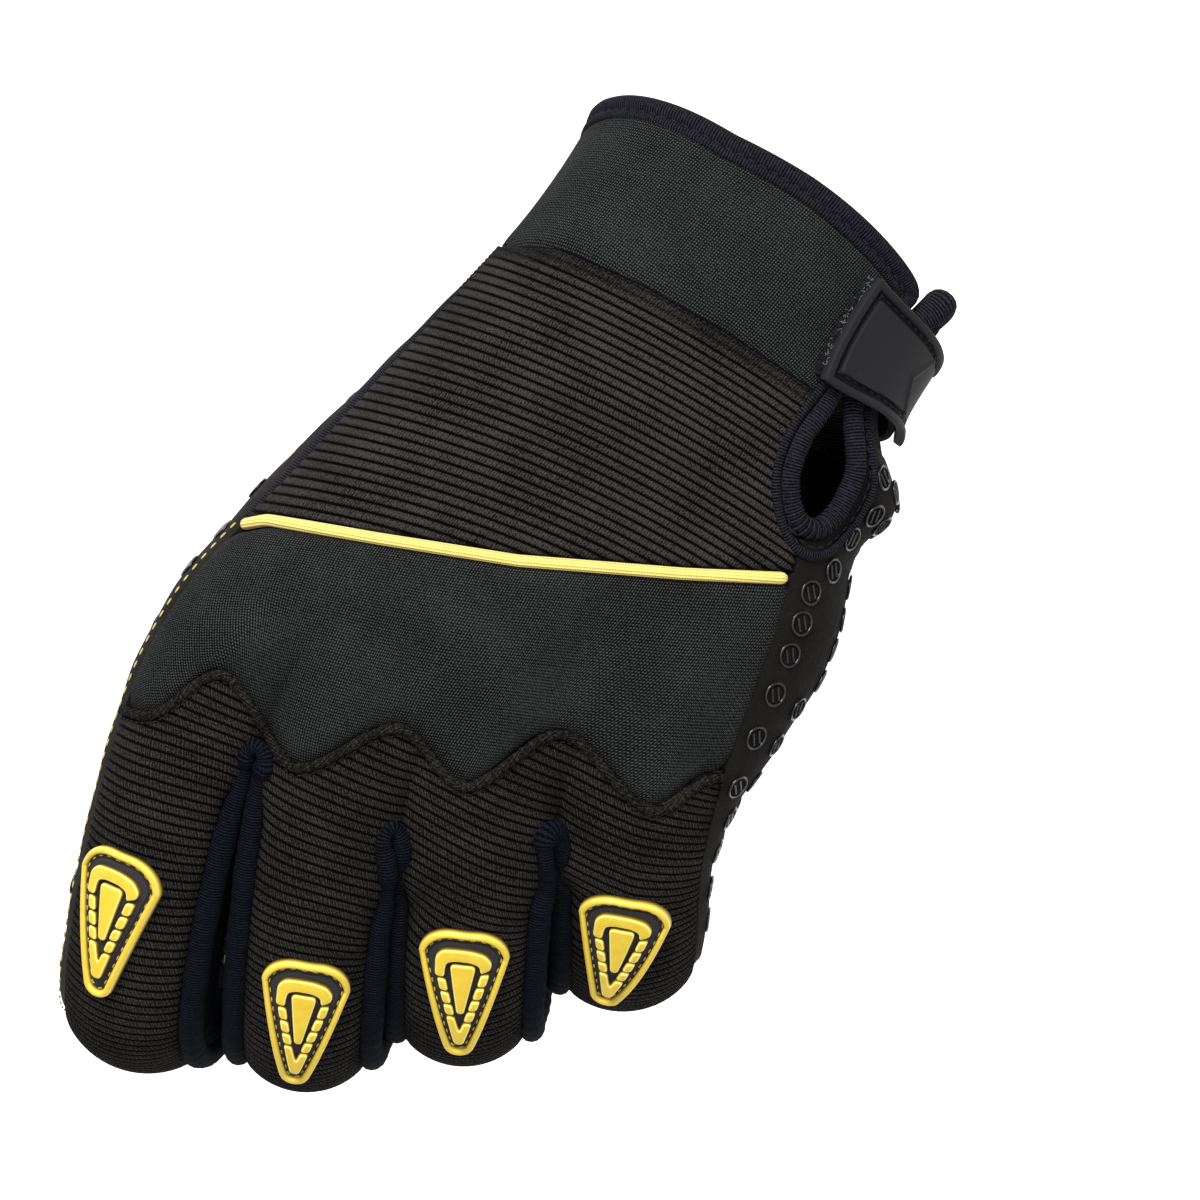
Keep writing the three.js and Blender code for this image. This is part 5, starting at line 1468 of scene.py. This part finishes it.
def rim_ring(name, pad):
    """The pad's rounded rim, as a closed ring."""
    profile = ((0.0, 0.3), (0.0, 1.15), (0.08, 1.5), (0.3, 1.8), (0.6, 1.9), (0.9, 1.8), (1.12, 1.5),
               (1.2, 1.1), (1.2, 0.3))
    loops = [shield(0) + inward(shield(0)) * inset for inset, _ in profile]
    points = [pad_point(pad, loop[:, 0], loop[:, 1], np.full(len(loop), height))[0]
              for loop, (_, height) in zip(loops, profile)]
    count, rings = len(loops[0]), len(profile)
    faces = []
    for r in range(rings):
        s = (r + 1) % rings
        for c in range(count):
            d = (c + 1) % count
            faces.append([r * count + c, r * count + d, s * count + d, s * count + c])
    # Tones across the rim: painted shade at its feet, pale lines along its shoulders for painted highlight
    # and whitish wear, and the rubber's own yellow on its crown.
    tone = np.repeat((0.0, 0.4, 0.9, 0.6, 0.5, 0.55, 0.8, 0.3, 0.0), count)
    return facing_out(name, np.concatenate(points), faces, tone, 70)


def side_line(b):
    """Half width of the pad's raised figure at b mm down it."""
    return np.minimum(4.5, 3.95 - 0.25 * (np.asarray(b, float) + 3.5))


yellow_rubber = Finish("yellow_rubber", Specular_IOR_Level=0.3)
smudged = yellow_rubber.noise(2.2, 4, 0.6)
fine = yellow_rubber.noise(0.4, 2)
tone = yellow_rubber.tone()
body = yellow_rubber.blend((smudged * 0.7 + fine * 0.2).held(0.2, 0.8), ink(226, 190, 50), ink(238, 208, 74))
# Where tone is high the yellow goes pale: painted highlight along the bevels, together with whitish wear.
# Where tone is low it goes dark olive: painted shade at the feet of the raised shapes, where they meet the
# dark field.
edge_highlighted = yellow_rubber.blend(tone.held(0.5, 1.0), body, ink(250, 234, 132))
yellow_rubber.feed("Base Color", yellow_rubber.blend(tone.held(0.05, 0.5), ink(92, 74, 20), edge_highlighted))
yellow_rubber.feed("Roughness", 0.35 + smudged * 0.25)
yellow_rubber.bump(fine, 0.03)
field_rubber = Finish("field_rubber", Roughness=0.8, Specular_IOR_Level=0.1)
grain = field_rubber.noise(0.5, 3)
field_rubber.feed("Base Color", field_rubber.blend(grain, ink(40, 38, 40), ink(64, 61, 63)))
field_rubber.bump(grain, 0.08)

pad_thread = Finish("pad_thread", Roughness=0.7, Specular_IOR_Level=0.15)
pad_thread.feed("Base Color",
                pad_thread.blend(pad_thread.noise(0.5, 2), ink(160, 140, 50), ink(206, 186, 88)))
LEFT_BEADS = [(-4.55, -2.25), (-1.9, 0.3), (0.65, 2.75)]
RIGHT_BEADS = [(-5.9, -3.5), (-3.15, -0.85), (-0.5, 1.6), (1.95, 4.05)]
for pad in PADS:
    base = [cast(f"{pad}_groove", pad, shield(1.25), 0.3, 0.85, 0.15),
            cast(f"{pad}_field", pad, shield(2.0), 0.6, 1.2, 0.2)]
    finished(joined(f"{pad}_pad_field", base), field_rubber, "dark_rubber", f"pad_base_{pad}")
    finished(rim_ring(f"{pad}_pad_rim", pad), yellow_rubber, "yellow_rubber", f"pad_rim_{pad}")
    bracket = [(-4.6, -5.0), (-4.75, -8.7), (-3.6, -10.2), (-1.3, -10.6), (1.3, -10.55), (3.6, -9.8),
               (4.8, -8.2), (4.6, -6.9), (2.95, -6.2), (2.7, -7.7), (1.2, -8.4), (-1.3, -8.45),
               (-2.7, -7.9), (-2.95, -6.6), (-2.95, -5.0)]
    soft_corners = (0.6, 1.2, 1.2, 1.2, 1.2, 1.2, 1.0, 0.6, 0.5, 0.8, 0.8, 0.8, 0.8, 0.8, 0.6)
    vee = [(-side_line(3.1), 3.1), (-side_line(3.1) + 1.4, 3.1), (0, 6.5), (side_line(4.4) - 1.4, 4.4),
           (side_line(4.4), 4.4), (0.75, 9.5), (-0.75, 9.5)]
    shapes = [cast(f"{pad}_bracket", pad, corner_cut(bracket, soft_corners, 0.22), 1.2, 2.3, 0.35),
              cast(f"{pad}_vee", pad, corner_cut(vee, 0.7), 1.2, 2.3, 0.35)]
    for sign, beads in ((-1, LEFT_BEADS), (1, RIGHT_BEADS)):
        for number, (top, foot) in enumerate(beads):
            quad = [(sign * side_line(top), top), (sign * side_line(foot), foot),
                    (sign * (side_line(foot) - 1.5), foot), (sign * (side_line(top) - 1.5), top)]
            shapes.append(cast(f"{pad}_bead_{sign}_{number}", pad, corner_cut(quad, 0.6, 0.22), 1.2, 2.25,
                               0.42))
    finished(joined(f"{pad}_pad_figure", shapes), yellow_rubber, "yellow_rubber", f"pad_chain_{pad}")
    wedge = [(-2.2, -7.75), (2.2, -7.75), (0.6, 2.2), (-0.6, 2.2)]
    finished(cast(f"{pad}_pad_wedge", pad, corner_cut(wedge, (1.1, 1.1, 0.6, 0.6)), 1.2, 2.3, 0.35),
             yellow_rubber, "yellow_rubber", f"pad_wedge_{pad}")
    loop = shield(1.52)
    loop = np.vstack([loop, loop[:1]])
    line = pad_point(pad, loop[:, 0], loop[:, 1], np.full(len(loop), 0.95))[0]
    stitched(f"{pad}_pad_stitches", [line], 1.85, 1.0, 0.3, pad_thread, "yellow_rubber")


# Picture: the glove seen from straight above, on a pale floor well below it, in soft even light. Camera,
# floor and lights are no part of the glove.

camera = bpy.data.objects.new("camera", bpy.data.cameras.new("camera"))
camera.location = (-0.02467, -0.0658, 1.0)
camera.data.lens, camera.data.sensor_width = 180, 36
camera.data.clip_start, camera.data.clip_end = 0.05, 20
bpy.context.scene.collection.objects.link(camera)
bpy.context.scene.camera = camera

floor_finish = Finish("pale_floor", Roughness=0.9, Specular_IOR_Level=0.0, Emission_Strength=0.42)
paper = floor_finish.blend(floor_finish.noise(60, 2), (0.93, 0.93, 0.93, 1), (0.95, 0.95, 0.95, 1))
floor_finish.feed("Base Color", paper)
floor_finish.feed("Emission Color", paper)
floor = mesh_object("floor",
                    [(-4000, -4000, -420), (4000, -4000, -420), (4000, 4000, -420), (-4000, 4000, -420)],
                    [[0, 1, 2, 3]])
floor.data.materials.append(floor_finish.material)
floor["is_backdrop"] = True

world = bpy.data.worlds.new("studio")
bpy.context.scene.world = world
world.use_nodes = True
world.node_tree.nodes["Background"].inputs["Color"].default_value = (1, 1, 1, 1)
world.node_tree.nodes["Background"].inputs["Strength"].default_value = 0.5
for name, place, size, power in (("key_light", (-0.35, 0.75, 1.2), 0.7, 27),
                                 ("fill_light", (0.5, -0.3, 1.5), 1.2, 9)):
    light = bpy.data.objects.new(name, bpy.data.lights.new(name, "AREA"))
    light.data.size, light.data.energy = size, power
    light.location = place
    light.rotation_euler = (Vector((-0.03, -0.06, 0)) - Vector(place)).to_track_quat("-Z", "Y").to_euler()
    bpy.context.scene.collection.objects.link(light)
bpy.context.scene.view_settings.view_transform = "Standard"

low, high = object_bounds()
